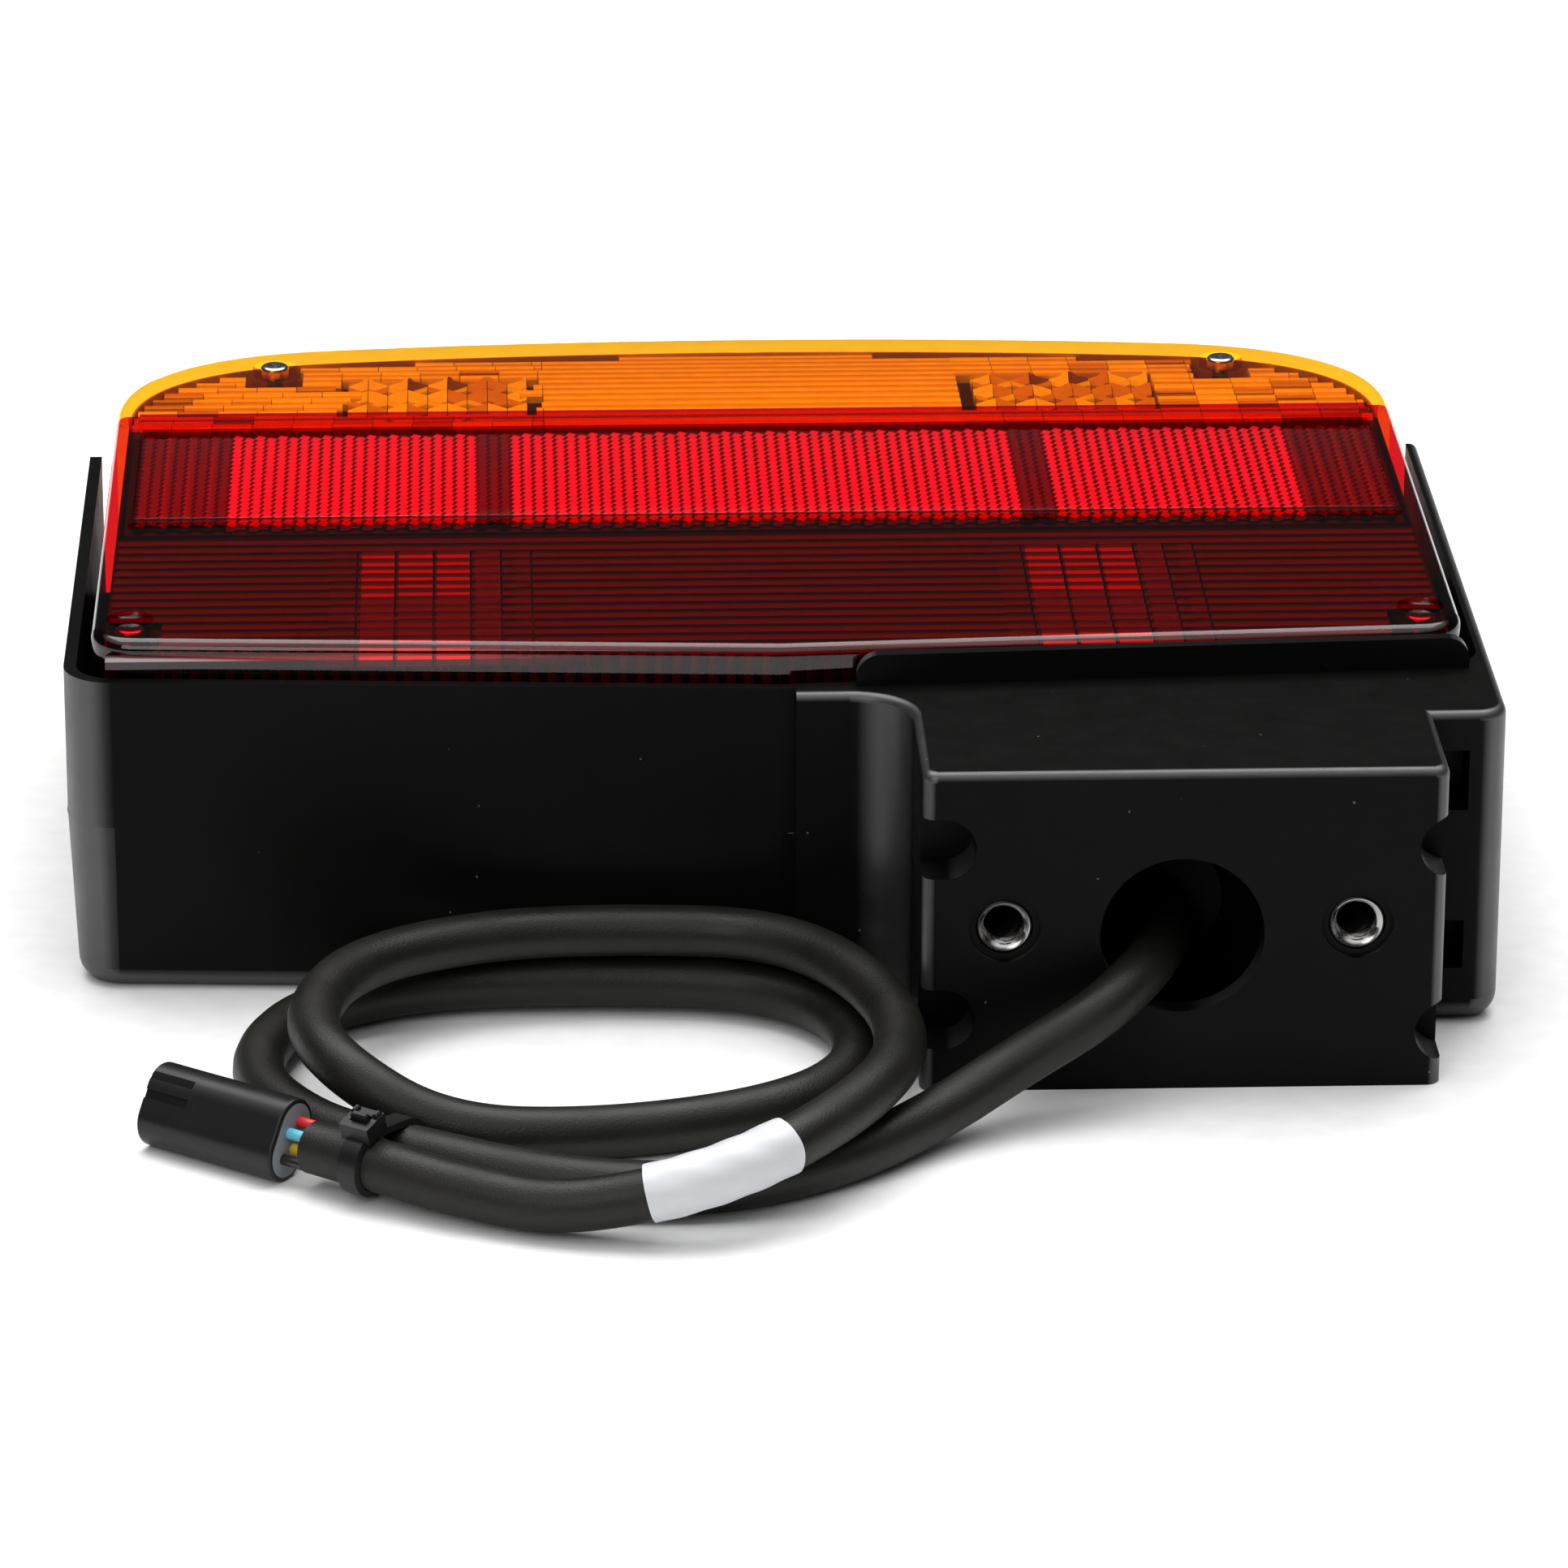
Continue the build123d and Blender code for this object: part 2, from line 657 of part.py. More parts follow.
with BuildPart() as earth_strips:
    with BuildSketch(flat(floor_t)):
        with Locations(*[(0, y) for y in bulb_rows]):
            Rectangle(2 * (bulb_x - socket_r - fit_gap), strip_w)
    extrude(amount=strip_t)
finish(earth_strips.part, "earth_strips")

# ---------------------------------------------------------------- bulbs
base_foot = floor_t + socket_floor + contact_h + contact_gap
base_top = base_foot + base_len
for number, (x, y) in enumerate(bulb_spots, start=1):
    with BuildPart() as bulb_base:
        with BuildSketch(flat(base_foot)):
            with Locations((x, y)):
                Circle(base_r)
        extrude(amount=base_len)
        fillet(bulb_base.edges().group_by(Axis.Z)[0], 1.0)
        with BuildSketch(Plane(origin=at(x, y, floor_t + pin_z), x_dir=(0, 1, 0), z_dir=(1, 0, 0))):
            Circle(pin_r)
        extrude(amount=base_r + pin_out, both=True)
    finish(bulb_base.part, f"bulb_base_{number}")
    with BuildPart() as bulb_glass:
        with BuildSketch(Plane(origin=at(x, y), x_dir=(1, 0, 0), z_dir=(0, -1, 0))):
            with BuildLine():
                neck = base_r - bulb_neck
                middle_z = bulb_top - bulb_glass_r
                Polyline((0, bulb_top), (0, base_top), (neck, base_top))
                Spline(
                    (neck, base_top), (bulb_glass_r, middle_z),
                    tangents=((0.3, 1), (0, 1)),
                )
                RadiusArc((bulb_glass_r, middle_z), (0, bulb_top), -bulb_glass_r)
            make_face()
        revolve(axis=Axis(at(x, y), (0, 0, 1)))
    finish(bulb_glass.part, f"bulb_glass_{number}")

# ---------------------------------------------------------------- cable, gland and clamp
with BuildPart() as cable_gland:
    with BuildSketch(facing(hollow_back)):
        with Locations((cable_hole_x, gland_z)):
            Circle(gland_r + gland_flange_w)
    extrude(amount=gland_lip)
    with BuildSketch(facing(hollow_back)):
        with Locations((cable_hole_x, gland_z)):
            Circle(gland_r)
    extrude(amount=-gland_len)
    with BuildSketch(facing(hollow_back - gland_lip)):
        with Locations((cable_hole_x, gland_z)):
            Circle(cable_r)
    extrude(amount=-gland_len - gland_lip, mode=Mode.SUBTRACT)
finish(cable_gland.part, "cable_gland")

cable_start = hollow_back - gland_lip
with BuildPart() as cable_tail:
    with BuildSketch(facing(cable_start)):
        with Locations((cable_hole_x, gland_z)):
            Circle(cable_r)
    extrude(amount=-tail_len)
finish(cable_tail.part, "cable_tail")

# route of the free cable: (x, y, z) of each corner, measured from the front wall
route = [
    (cable_hole_x, cable_start, gland_z), (cable_hole_x, -23, gland_z), (63.4, -37, 20.4),
    (59.2, -49.5, 21.4), (51.5, -57.8, 17.8), (38, -62.5, 11.4), (24, -71.5, 5.8), (7, -87.5, 4.6),
    (-15, -98.5, 4.6), (-41, -95, 4.8),
    (-64.7, -83.7, 5.9), (-80, -71.5, 4.6), (-92.5, -49, 4.6), (-86, -23.5, 4.8), (-64, -11.5, 5.4),
    (-33, -10.8, 5.7), (-5, -13.5, 5.7), (11, -28, 5.4), (12.5, -50, 5), (-2.5, -66.5, 4.6),
    (-32, -75.3, 4.6), (-59, -75.2, 5.6), (-77, -66.5, 14), (-82.5, -47, 15), (-74, -24, 15.2),
    (-51, -12.5, 15.2), (-26, -11.3, 15.3), (-2, -14, 15.3), (12.3, -31, 15.3), (19.8, -58.5, 15.2),
    (13.5, -83, 15.2), (-10, -108.5, 12.3), (-38, -107, 4.9), (-56, -99.2, 5.6), (-70, -91, 6.75),
    (-80.5, -83.4, 6.75),
]


def corner_radii(points):
    """Radius at each corner: as large as 0.45 of the shorter run beside it allows."""
    radii = []
    for before, here, after in zip(points, points[1:], points[2:]):
        coming = Vector(*here) - Vector(*before)
        going = Vector(*after) - Vector(*here)
        half_turn = radians(coming.get_angle(going)) / 2
        radii.append(0.45 * min(coming.length, going.length) / tan(half_turn))
    return radii


points = [at(*point) for point in route]
radii = corner_radii(points)
print("cable corner radii", [round(radius, 1) for radius in radii])
with BuildPart() as cable:
    with BuildLine() as cable_path:
        FilletPolyline(*points, radius=radii)
    with BuildSketch(Plane(origin=cable_path.line @ 0, z_dir=cable_path.line % 0)):
        Circle(cable_r)
    sweep()
finish(cable.part, "cable")
cable_length = cable_path.wires()[0].length
print("cable length", round(cable_length, 1), "volume", round(cable.part.volume))
print("section times length", round(pi * cable_r**2 * cable_length))

# paper wrap around the cable, from the middle of one run to the middle of the next
label_corner = 31
label_ends = [
    (Vector(*points[label_corner]) + Vector(*points[label_corner + step])) / 2 for step in (-1, 1)
]
with BuildPart() as cable_label:
    with BuildLine() as label_path:
        FilletPolyline(
            label_ends[0], points[label_corner], label_ends[1], radius=radii[label_corner - 1],
        )
    with BuildSketch(Plane(origin=label_path.line @ 0, z_dir=label_path.line % 0)):
        Circle(cable_r + label_t)
        Circle(cable_r, mode=Mode.SUBTRACT)
    sweep()
finish(cable_label.part, "cable_label")

# ---------------------------------------------------------------- tie, wires and connector
end_point = Vector(*points[-1])
end_way = (end_point - Vector(*points[-2])).normalized()
rearward = Vector(0, 0, 1).cross(end_way) * -1
tie_plane = Plane(
    origin=Vector(*points[-2]) + end_way * tie_shift + Vector(0, 0, tie_mid_z - points[-2][2]),
    x_dir=rearward, z_dir=end_way,
)
with BuildPart() as cable_tie:
    with BuildSketch(tie_plane):
        with Locations((tie_span / 2, 0)):
            SlotCenterToCenter(tie_span, 2 * (tie_inner + tie_t))
            SlotCenterToCenter(tie_span, 2 * tie_inner, mode=Mode.SUBTRACT)
    extrude(amount=tie_w / 2, both=True)
    with BuildSketch(tie_plane.offset(-tie_w / 2 - 0.6)):
        with Locations((tie_head_at, -(tie_inner + tie_t + 1.6))):
            Rectangle(*tie_head)
    extrude(amount=tie_w + 1.2)
    with BuildSketch(tie_plane.offset(-1.4)):
        with Locations((tie_head_at, -(tie_inner + tie_t + 2.9))):
            Rectangle(2.2, 3.4)
    extrude(amount=2.8, mode=Mode.SUBTRACT)
finish(cable_tie.part, "cable_tie")

seal_face = end_point + end_way * wire_gap
long_way = rearward * sin(radians(connector_roll)) + Vector(0, 0, 1) * cos(radians(connector_roll))
connector_plane = Plane(origin=seal_face, x_dir=long_way, z_dir=end_way)
wire_plane = Plane(origin=end_point, x_dir=long_way, z_dir=end_way)
for name, spot in wires.items():
    with BuildPart() as wire:
        with BuildSketch(wire_plane):
            with Locations(spot):
                Circle(wire_r)
        extrude(amount=wire_gap + seal_t + wire_grip)
    finish(wire.part, name)

with BuildPart() as connector_seal:
    with BuildSketch(connector_plane):
        SlotOverall(connector_w - 2 * connector_wall, connector_h - 2 * connector_wall)
        with Locations(*wires.values()):
            Circle(wire_r, mode=Mode.SUBTRACT)
    extrude(amount=seal_t)
finish(connector_seal.part, "connector_seal")

with BuildPart() as connector_body:
    with BuildSketch(connector_plane):
        SlotOverall(connector_w, connector_h)
    extrude(amount=connector_len)
    fillet(connector_body.edges(), 0.5)
    with BuildSketch(connector_plane):
        SlotOverall(connector_w - 2 * connector_wall, connector_h - 2 * connector_wall)
    extrude(amount=seal_t, mode=Mode.SUBTRACT)
    with BuildSketch(connector_plane.offset(seal_t)):
        with Locations(*wires.values()):
            Circle(wire_r)
    extrude(amount=wire_grip, mode=Mode.SUBTRACT)
    with BuildSketch(connector_plane.offset(connector_len)):
        SlotOverall(connector_w - 3 * connector_wall, connector_h - 3 * connector_wall)
    extrude(amount=-socket_depth, mode=Mode.SUBTRACT)
    with BuildSketch(connector_plane.offset(connector_len)):
        with Locations(*[(x, -connector_h / 2) for x in key_spots]):
            Rectangle(*key_size)
    extrude(amount=-key_len, mode=Mode.SUBTRACT)
    with BuildSketch(connector_plane.offset(seal_t + wire_grip)):
        with Locations(*wires.values()):
            Circle(contact_pin_r)
    extrude(amount=connector_len, mode=Mode.SUBTRACT)
finish(connector_body.part, "connector_body")

with BuildPart() as connector_pins:
    with BuildSketch(connector_plane.offset(connector_len - socket_depth)):
        with Locations(*wires.values()):
            Circle(contact_pin_r)
    extrude(amount=socket_depth - pin_short)
    with BuildSketch(connector_plane.offset(seal_t + wire_grip)):
        with Locations(*wires.values()):
            Circle(contact_pin_r)
    extrude(amount=connector_len - socket_depth - seal_t - wire_grip)
finish(connector_pins.part, "connector_pins")
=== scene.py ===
"""Looks of the trailer tail light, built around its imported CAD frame.

Everything is in metres in the row frame: the lamp lies on its back, lens up, bolt-on foot towards -Y.
Depths along the lamp are given behind the front wall of the housing, and back() turns them into y.
"""

import json
import math
import random

import bpy
import numpy as np
from mathutils import Matrix, Vector


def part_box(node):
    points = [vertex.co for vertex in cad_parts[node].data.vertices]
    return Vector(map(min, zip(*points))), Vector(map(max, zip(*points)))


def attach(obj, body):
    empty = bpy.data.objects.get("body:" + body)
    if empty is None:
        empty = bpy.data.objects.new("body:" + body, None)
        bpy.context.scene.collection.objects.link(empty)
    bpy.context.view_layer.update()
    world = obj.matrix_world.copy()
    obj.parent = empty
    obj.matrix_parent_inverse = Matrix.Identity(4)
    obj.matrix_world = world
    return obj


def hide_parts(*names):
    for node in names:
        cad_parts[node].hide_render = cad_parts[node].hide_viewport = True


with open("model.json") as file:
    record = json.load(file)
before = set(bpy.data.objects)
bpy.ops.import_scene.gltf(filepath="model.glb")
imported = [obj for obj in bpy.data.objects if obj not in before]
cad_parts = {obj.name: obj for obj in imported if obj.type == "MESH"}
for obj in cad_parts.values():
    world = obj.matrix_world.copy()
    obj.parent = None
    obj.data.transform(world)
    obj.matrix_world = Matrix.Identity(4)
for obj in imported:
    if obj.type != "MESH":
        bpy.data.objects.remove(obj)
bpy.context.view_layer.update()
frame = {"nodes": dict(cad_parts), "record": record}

MM = 0.001
PAD_REACH = 48.4 * MM                      # bolting face in front of the front wall
FRONT_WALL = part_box("housing")[0].y + PAD_REACH
CABLE_R = 4.5 * MM


def back(depth_mm):
    """y of a place this many millimetres behind the housing's front wall."""
    return FRONT_WALL + depth_mm * MM


# ---------------------------------------------------------------- camera, lights and floor
CAMERA_PLACE = Vector((-0.0508, -1.3650, 0.5470))
CAMERA_DOWN, CAMERA_TURN, CAMERA_ROLL = (math.radians(a) for a in (21.4, -2.273, 0.165))
CAMERA_LENS = 183.76


def make_camera():
    """The camera at the viewing angle of the reference, slightly left of the lamp and above it."""
    level = math.cos(CAMERA_DOWN)
    forward = Vector((-math.sin(CAMERA_TURN) * level, math.cos(CAMERA_TURN) * level, -math.sin(CAMERA_DOWN)))
    side = Vector((math.cos(CAMERA_TURN), math.sin(CAMERA_TURN), 0))
    over = side.cross(forward)
    right = side * math.cos(CAMERA_ROLL) + over * math.sin(CAMERA_ROLL)
    up = over * math.cos(CAMERA_ROLL) - side * math.sin(CAMERA_ROLL)
    data = bpy.data.cameras.new("camera")
    data.sensor_width = 36
    data.lens = CAMERA_LENS
    data.clip_start, data.clip_end = 0.05, 20
    camera = bpy.data.objects.new("camera", data)
    turned = Matrix((right, up, -forward)).transposed().to_4x4()
    camera.matrix_world = Matrix.Translation(CAMERA_PLACE) @ turned
    bpy.context.scene.collection.objects.link(camera)
    bpy.context.scene.camera = camera


def area_light(name, place, aim, size, power):
    """A soft box of the given width and height that points at aim."""
    data = bpy.data.lights.new(name, "AREA")
    data.shape = "RECTANGLE"
    data.size, data.size_y = size
    data.energy = power
    lamp = bpy.data.objects.new(name, data)
    lamp.location = place
    lamp.rotation_euler = (Vector(aim) - Vector(place)).to_track_quat("-Z", "Y").to_euler()
    bpy.context.scene.collection.objects.link(lamp)


def make_studio():
    """A pale floor, a room that is dark low down and bright overhead, and two soft boxes."""
    world = bpy.data.worlds.new("studio")
    world.use_nodes = True
    tree = world.node_tree
    surround = tree.nodes["Background"]
    surround.inputs["Strength"].default_value = 1.0
    direction = tree.nodes.new("ShaderNodeTexCoord")
    height = tree.nodes.new("ShaderNodeSeparateXYZ")
    ramp = tree.nodes.new("ShaderNodeMapRange")
    ramp.interpolation_type = "SMOOTHSTEP"
    for socket, value in (("From Min", 0.55), ("From Max", 0.88), ("To Min", 0.035), ("To Max", 1.45)):
        ramp.inputs[socket].default_value = value
    tree.links.new(direction.outputs["Generated"], height.inputs["Vector"])
    tree.links.new(height.outputs["Z"], ramp.inputs["Value"])
    tree.links.new(ramp.outputs["Result"], surround.inputs["Color"])
    bpy.context.scene.world = world
    bpy.context.scene.view_settings.view_transform = "Standard"
    area_light("top_box", (0.0, 0.35, 1.3), (0, 0, 0), (1.6, 1.1), 21)
    area_light("front_box", (-0.7, -1.5, 1.0), (0, 0, 0), (1.0, 1.0), 9)
    bpy.ops.mesh.primitive_plane_add(size=12, location=(0, 0, 0))
    floor = bpy.context.object
    floor.name = "floor"
    floor.data.materials.append(plain("floor_white", (0.93, 0.93, 0.93), 0.9))


# ---------------------------------------------------------------- materials
class Paint:
    """A material under construction: a Principled shader plus whatever nodes feed it."""

    def __init__(self, name, color, roughness, **sockets):
        self.material = bpy.data.materials.new(name)
        self.material.use_nodes = True
        self.tree = self.material.node_tree
        self.shader = self.tree.nodes["Principled BSDF"]
        self.set(**{"Base Color": (*color, 1), "Roughness": roughness}, **sockets)
        self.place = None

    def set(self, **sockets):
        for name, value in sockets.items():
            self.shader.inputs[name.replace("_", " ")].default_value = value

    def add(self, kind, **inputs):
        node = self.tree.nodes.new(kind)
        for name, value in inputs.items():
            node.inputs[name.replace("_", " ")].default_value = value
        return node

    def link(self, source, target):
        self.tree.links.new(source, target)

    def position(self):
        """Object coordinates, which are the row frame's metres on every piece here."""
        if self.place is None:
            self.place = self.add("ShaderNodeTexCoord").outputs["Object"]
        return self.place

    def noise(self, scale, detail=3.0, roughness=0.5, stretch=None):
        """Noise with `scale` blobs per metre, stretched by a factor on each axis."""
        node = self.add("ShaderNodeTexNoise", Scale=scale, Detail=detail, Roughness=roughness)
        source = self.position()
        if stretch:
            mapping = self.add("ShaderNodeMapping", Scale=stretch)
            self.link(source, mapping.inputs["Vector"])
            source = mapping.outputs["Vector"]
        self.link(source, node.inputs["Vector"])
        return node.outputs["Fac"]

    def specks(self, scale, size):
        """1 inside small round specks scattered `scale` to the metre, else 0."""
        cells = self.add("ShaderNodeTexVoronoi", Scale=scale, Randomness=1.0)
        self.link(self.position(), cells.inputs["Vector"])
        near = self.remap(cells.outputs["Distance"], size, size * 0.6, 0, 1)
        pick = self.add("ShaderNodeSeparateColor")
        self.link(cells.outputs["Color"], pick.inputs["Color"])
        rare = self.remap(pick.outputs["Red"], 0.80, 0.86, 0, 1)
        return self.maths("MULTIPLY", near, rare)

    def maths(self, operation, *sources):
        """One maths node on one or two sources."""
        node = self.add("ShaderNodeMath")
        node.operation = operation
        for socket, source in zip(node.inputs, sources):
            self.link(source, socket)
        return node.outputs[0]

    def remap(self, source, low, high, to_low, to_high):
        node = self.add("ShaderNodeMapRange")
        for name, value in (("From Min", low), ("From Max", high), ("To Min", to_low), ("To Max", to_high)):
            node.inputs[name].default_value = value
        self.link(source, node.inputs["Value"])
        return node.outputs["Result"]

    def blend_color(self, factor, first, second):
        """Base colour that goes from first to second as factor goes from 0 to 1."""
        node = self.add("ShaderNodeMix")
        node.data_type = "RGBA"
        self.link(factor, node.inputs["Factor"])
        for socket, color in (("A", first), ("B", second)):
            target = [s for s in node.inputs if s.name == socket and s.type == "RGBA"][0]
            if isinstance(color, tuple):
                target.default_value = (*color, 1)
            else:
                self.link(color, target)
        return [s for s in node.outputs if s.type == "RGBA"][0]

    def bump(self, heights, strength, distance):
        """Fine surface relief from one or more height sources added together."""
        total = heights[0]
        for more in heights[1:]:
            total = self.maths("ADD", total, more)
        node = self.add("ShaderNodeBump", Strength=strength, Distance=distance)
        self.link(total, node.inputs["Height"])
        self.link(node.outputs["Normal"], self.shader.inputs["Normal"])

    def color_from(self, source):
        self.link(source, self.shader.inputs["Base Color"])

    def roughness_from(self, source):
        self.link(source, self.shader.inputs["Roughness"])


def plain(name, color, roughness, **sockets):
    """A material with a faint unevenness of colour and gloss, for pieces with no marked texture."""
    paint = Paint(name, color, roughness, **sockets)
    blotches = paint.noise(180, 4)
    darker = tuple(c * 0.86 for c in color)
    paint.color_from(paint.blend_color(blotches, darker, color))
    paint.roughness_from(paint.remap(blotches, 0.3, 0.7, roughness * 0.88, min(1, roughness * 1.1)))
    return paint.material


def edge_highlight_mask(paint):
    """1 on rounded edges and curved surfaces, which get a painted highlight, 0 on flat faces."""
    split = paint.add("ShaderNodeSeparateXYZ")
    paint.link(paint.add("ShaderNodeTexCoord").outputs["Normal"], split.inputs["Vector"])
    products = [
        paint.maths("ABSOLUTE", paint.maths("MULTIPLY", split.outputs[first], split.outputs[second]))
        for first, second in ("XY", "YZ", "XZ")
    ]
    total = paint.maths("ADD", paint.maths("ADD", products[0], products[1]), products[2])
    return paint.remap(total, 0.12, 0.42, 0, 1)


def moulded(name, color, roughness, grain, depth, housing):
    """Moulded plastic with spark-eroded grain and flow marks; the housing has a painted highlight on its
    rounded edges and curved surfaces, and dust.
    """
    paint = Paint(name, color, roughness)
    paint.set(Specular_IOR_Level=0.25)
    flow = paint.noise(22, 4, 0.6, stretch=(1, 1, 0.35))
    rub = paint.noise(140, 5, 0.65)
    shade = paint.blend_color(flow, tuple(c * 0.8 for c in color), tuple(c * 1.25 for c in color))
    if housing:
        # Painted highlight: rounded edges and curved surfaces of the housing are coloured lighter and given
        # more specular.
        edge_highlight = edge_highlight_mask(paint)
        paint.link(paint.remap(edge_highlight, 0, 1, 0.05, 0.75), paint.shader.inputs["Specular IOR Level"])
        shade = paint.blend_color(paint.remap(edge_highlight, 0, 1, 0, 0.5), shade, tuple(c * 5 + 0.02 for c in color))
        shade = paint.blend_color(paint.specks(210, 0.055), shade, (0.11, 0.11, 0.105))
    paint.color_from(shade)
    paint.roughness_from(paint.remap(rub, 0.3, 0.75, roughness * 0.85, roughness * 1.2))
    paint.bump([paint.noise(grain, 2, 0.5)], 0.35, depth)
    return paint.material


def metal(name, color, roughness, scratch):
    """Plated or pressed metal with fine turning or drawing marks."""
    paint = Paint(name, color, roughness, Metallic=1.0)
    marks = paint.noise(scratch, 4, 0.7, stretch=(1, 1, 6))
    tarnish = paint.noise(400, 4, 0.6)
    paint.color_from(paint.blend_color(tarnish, tuple(c * 0.75 for c in color), color))
    paint.roughness_from(paint.remap(marks, 0.3, 0.7, roughness * 0.7, min(1, roughness * 1.5)))
    paint.bump([marks], 0.15, 0.00004)
    return paint.material


def clear_plastic(name, tint, haze):
    """Polished clear coloured plastic: what is behind it shows through tinted, and it mirrors like acrylic."""
    paint = Paint(name, tint, haze)
    paint.set(Specular_IOR_Level=0.5, IOR=1.49)
    through = paint.add("ShaderNodeBsdfTransparent", Color=(*tint, 1))
    gloss = paint.add("ShaderNodeBsdfGlossy", Color=(1, 1, 1, 1))
    smears = paint.noise(60, 4, 0.6)
    rough = paint.remap(smears, 0.35, 0.7, haze * 0.6, haze * 1.6)
    paint.link(rough, gloss.inputs["Roughness"])
    mirror = paint.add("ShaderNodeFresnel", IOR=1.49)
    outside = paint.remap(paint.add("ShaderNodeNewGeometry").outputs["Backfacing"], 0, 1, 1, 0)
    mixed = paint.add("ShaderNodeMixShader")
    paint.link(paint.maths("MULTIPLY", mirror.outputs["Fac"], outside), mixed.inputs["Fac"])
    paint.link(through.outputs["BSDF"], mixed.inputs[1])
    paint.link(gloss.outputs["BSDF"], mixed.inputs[2])
    output = paint.tree.nodes["Material Output"]
    paint.tree.nodes.remove(paint.shader)
    paint.link(mixed.outputs["Shader"], output.inputs["Surface"])
    return paint.material


def optic(name, color, roughness):
    """Inner optics of the lens: saturated plastic with a hard shine and small moulding unevenness."""
    paint = Paint(name, color, roughness)
    paint.set(Specular_IOR_Level=0.6)
    ripple = paint.noise(260, 3, 0.5)
    paint.color_from(paint.blend_color(ripple, tuple(c * 0.72 for c in color), color))
    paint.bump([paint.noise(900, 2, 0.5)], 0.12, 0.00005)
    return paint.material


def sheath(name, color):
    """Dark PVC cable sheath: soft sheen, dull handling marks along it and slight waviness."""
    paint = Paint(name, color, 0.42)
    paint.set(Specular_IOR_Level=0.24)
    dull = paint.noise(75, 5, 0.6)
    paint.color_from(paint.blend_color(dull, tuple(c * 0.75 for c in color), tuple(c * 1.3 for c in color)))
    paint.roughness_from(paint.remap(dull, 0.3, 0.7, 0.34, 0.52))
    paint.bump([paint.noise(120, 3, 0.5), paint.noise(2600, 2, 0.5)], 0.3, 0.00025)
    return paint.material


BLACK = (0.0034, 0.0034, 0.0032)


def make_materials():
    """One finish for each material slot of the record, and the extra ones of the lens optics."""
    made = {
        "black_abs": moulded("black_abs", BLACK, 0.40, 3200, 0.00006, True),
        "gasket_rubber": plain("gasket_rubber", (0.02, 0.02, 0.02), 0.85),
        "insert_steel": metal("insert_steel", (0.46, 0.45, 0.44), 0.20, 1500),
        "insert_dark": metal("insert_dark", (0.035, 0.034, 0.033), 0.35, 1500),
        "vent_grey": plain("vent_grey", (0.3, 0.3, 0.31), 0.6),
        "panel_white": plain("panel_white", (0.80, 0.80, 0.78), 0.3),
        "screw_steel": metal("screw_steel", (0.75, 0.75, 0.76), 0.20, 1800),
        "socket_steel": metal("socket_steel", (0.6, 0.6, 0.61), 0.32, 900),
        "contact_brass": metal("contact_brass", (0.78, 0.58, 0.28), 0.3, 900),
        "base_brass": metal("base_brass", (0.72, 0.66, 0.52), 0.26, 900),
        "bulb_glass_clear": clear_plastic("bulb_glass_clear", (0.96, 0.97, 0.98), 0.03),
        "gland_rubber": plain("gland_rubber", (0.014, 0.014, 0.014), 0.7),
        "cable_pvc": sheath("cable_pvc", (0.0100, 0.0096, 0.0078)),
        "label_film": plain("label_film", (0.62, 0.63, 0.66), 0.38),
        "tie_nylon": moulded("tie_nylon", (0.008, 0.008, 0.008), 0.34, 2600, 0.00003, False),
        "wire_red_pvc": plain("wire_red_pvc", (0.62, 0.02, 0.025), 0.35),
        "wire_blue_pvc": plain("wire_blue_pvc", (0.12, 0.50, 0.66), 0.35),
        "wire_black_pvc": plain("wire_black_pvc", (0.012, 0.012, 0.012), 0.35),
        "wire_yellow_pvc": plain("wire_yellow_pvc", (0.75, 0.50, 0.04), 0.35),
        "seal_silicone": plain("seal_silicone", (0.24, 0.26, 0.28), 0.6),
        "connector_pbt": moulded("connector_pbt", (0.010, 0.010, 0.010), 0.30, 3000, 0.00003, False),
        "lens_red_pmma": clear_plastic("lens_red_pmma", (0.76, 0.07, 0.09), 0.035),
        "lens_amber_pmma": clear_plastic("lens_amber_pmma", (1.0, 0.70, 0.12), 0.035),
        "reflex_red_pmma": clear_plastic("reflex_red_pmma", (0.97, 0.27, 0.34), 0.03),
        "backing_abs": plain("backing_abs", (0.05, 0.005, 0.006), 0.5),
        # The red optic finishes after this first one and the two reflex finishes are lit and shaded copies of
        # one plastic: painted highlight, painted glint and painted shade.
        "optic_red_dark": optic("optic_red_dark", (0.022, 0.005, 0.006), 0.25),
        "optic_red_line": optic("optic_red_line", (0.062, 0.009, 0.013), 0.25),
        "optic_red_mid": optic("optic_red_mid", (0.16, 0.02, 0.03), 0.25),
        "optic_red_highlight": optic("optic_red_highlight", (1.0, 0.30, 0.30), 0.25),
        "reflex_glint": optic("reflex_glint", (1.0, 0.55, 0.80), 0.30),
        "reflex_dark": optic("reflex_dark", (0.045, 0.008, 0.012), 0.35),
        # optic_amber is the base amber; the two darker amber finishes below it are painted shade.
        "optic_amber": optic("optic_amber", (0.97, 0.90, 0.60), 0.24),
        "optic_amber_half_shade": optic("optic_amber_half_shade", (0.66, 0.40, 0.15), 0.24),
        "optic_amber_dark": optic("optic_amber_dark", (0.16, 0.07, 0.03), 0.3),
    }
    return made


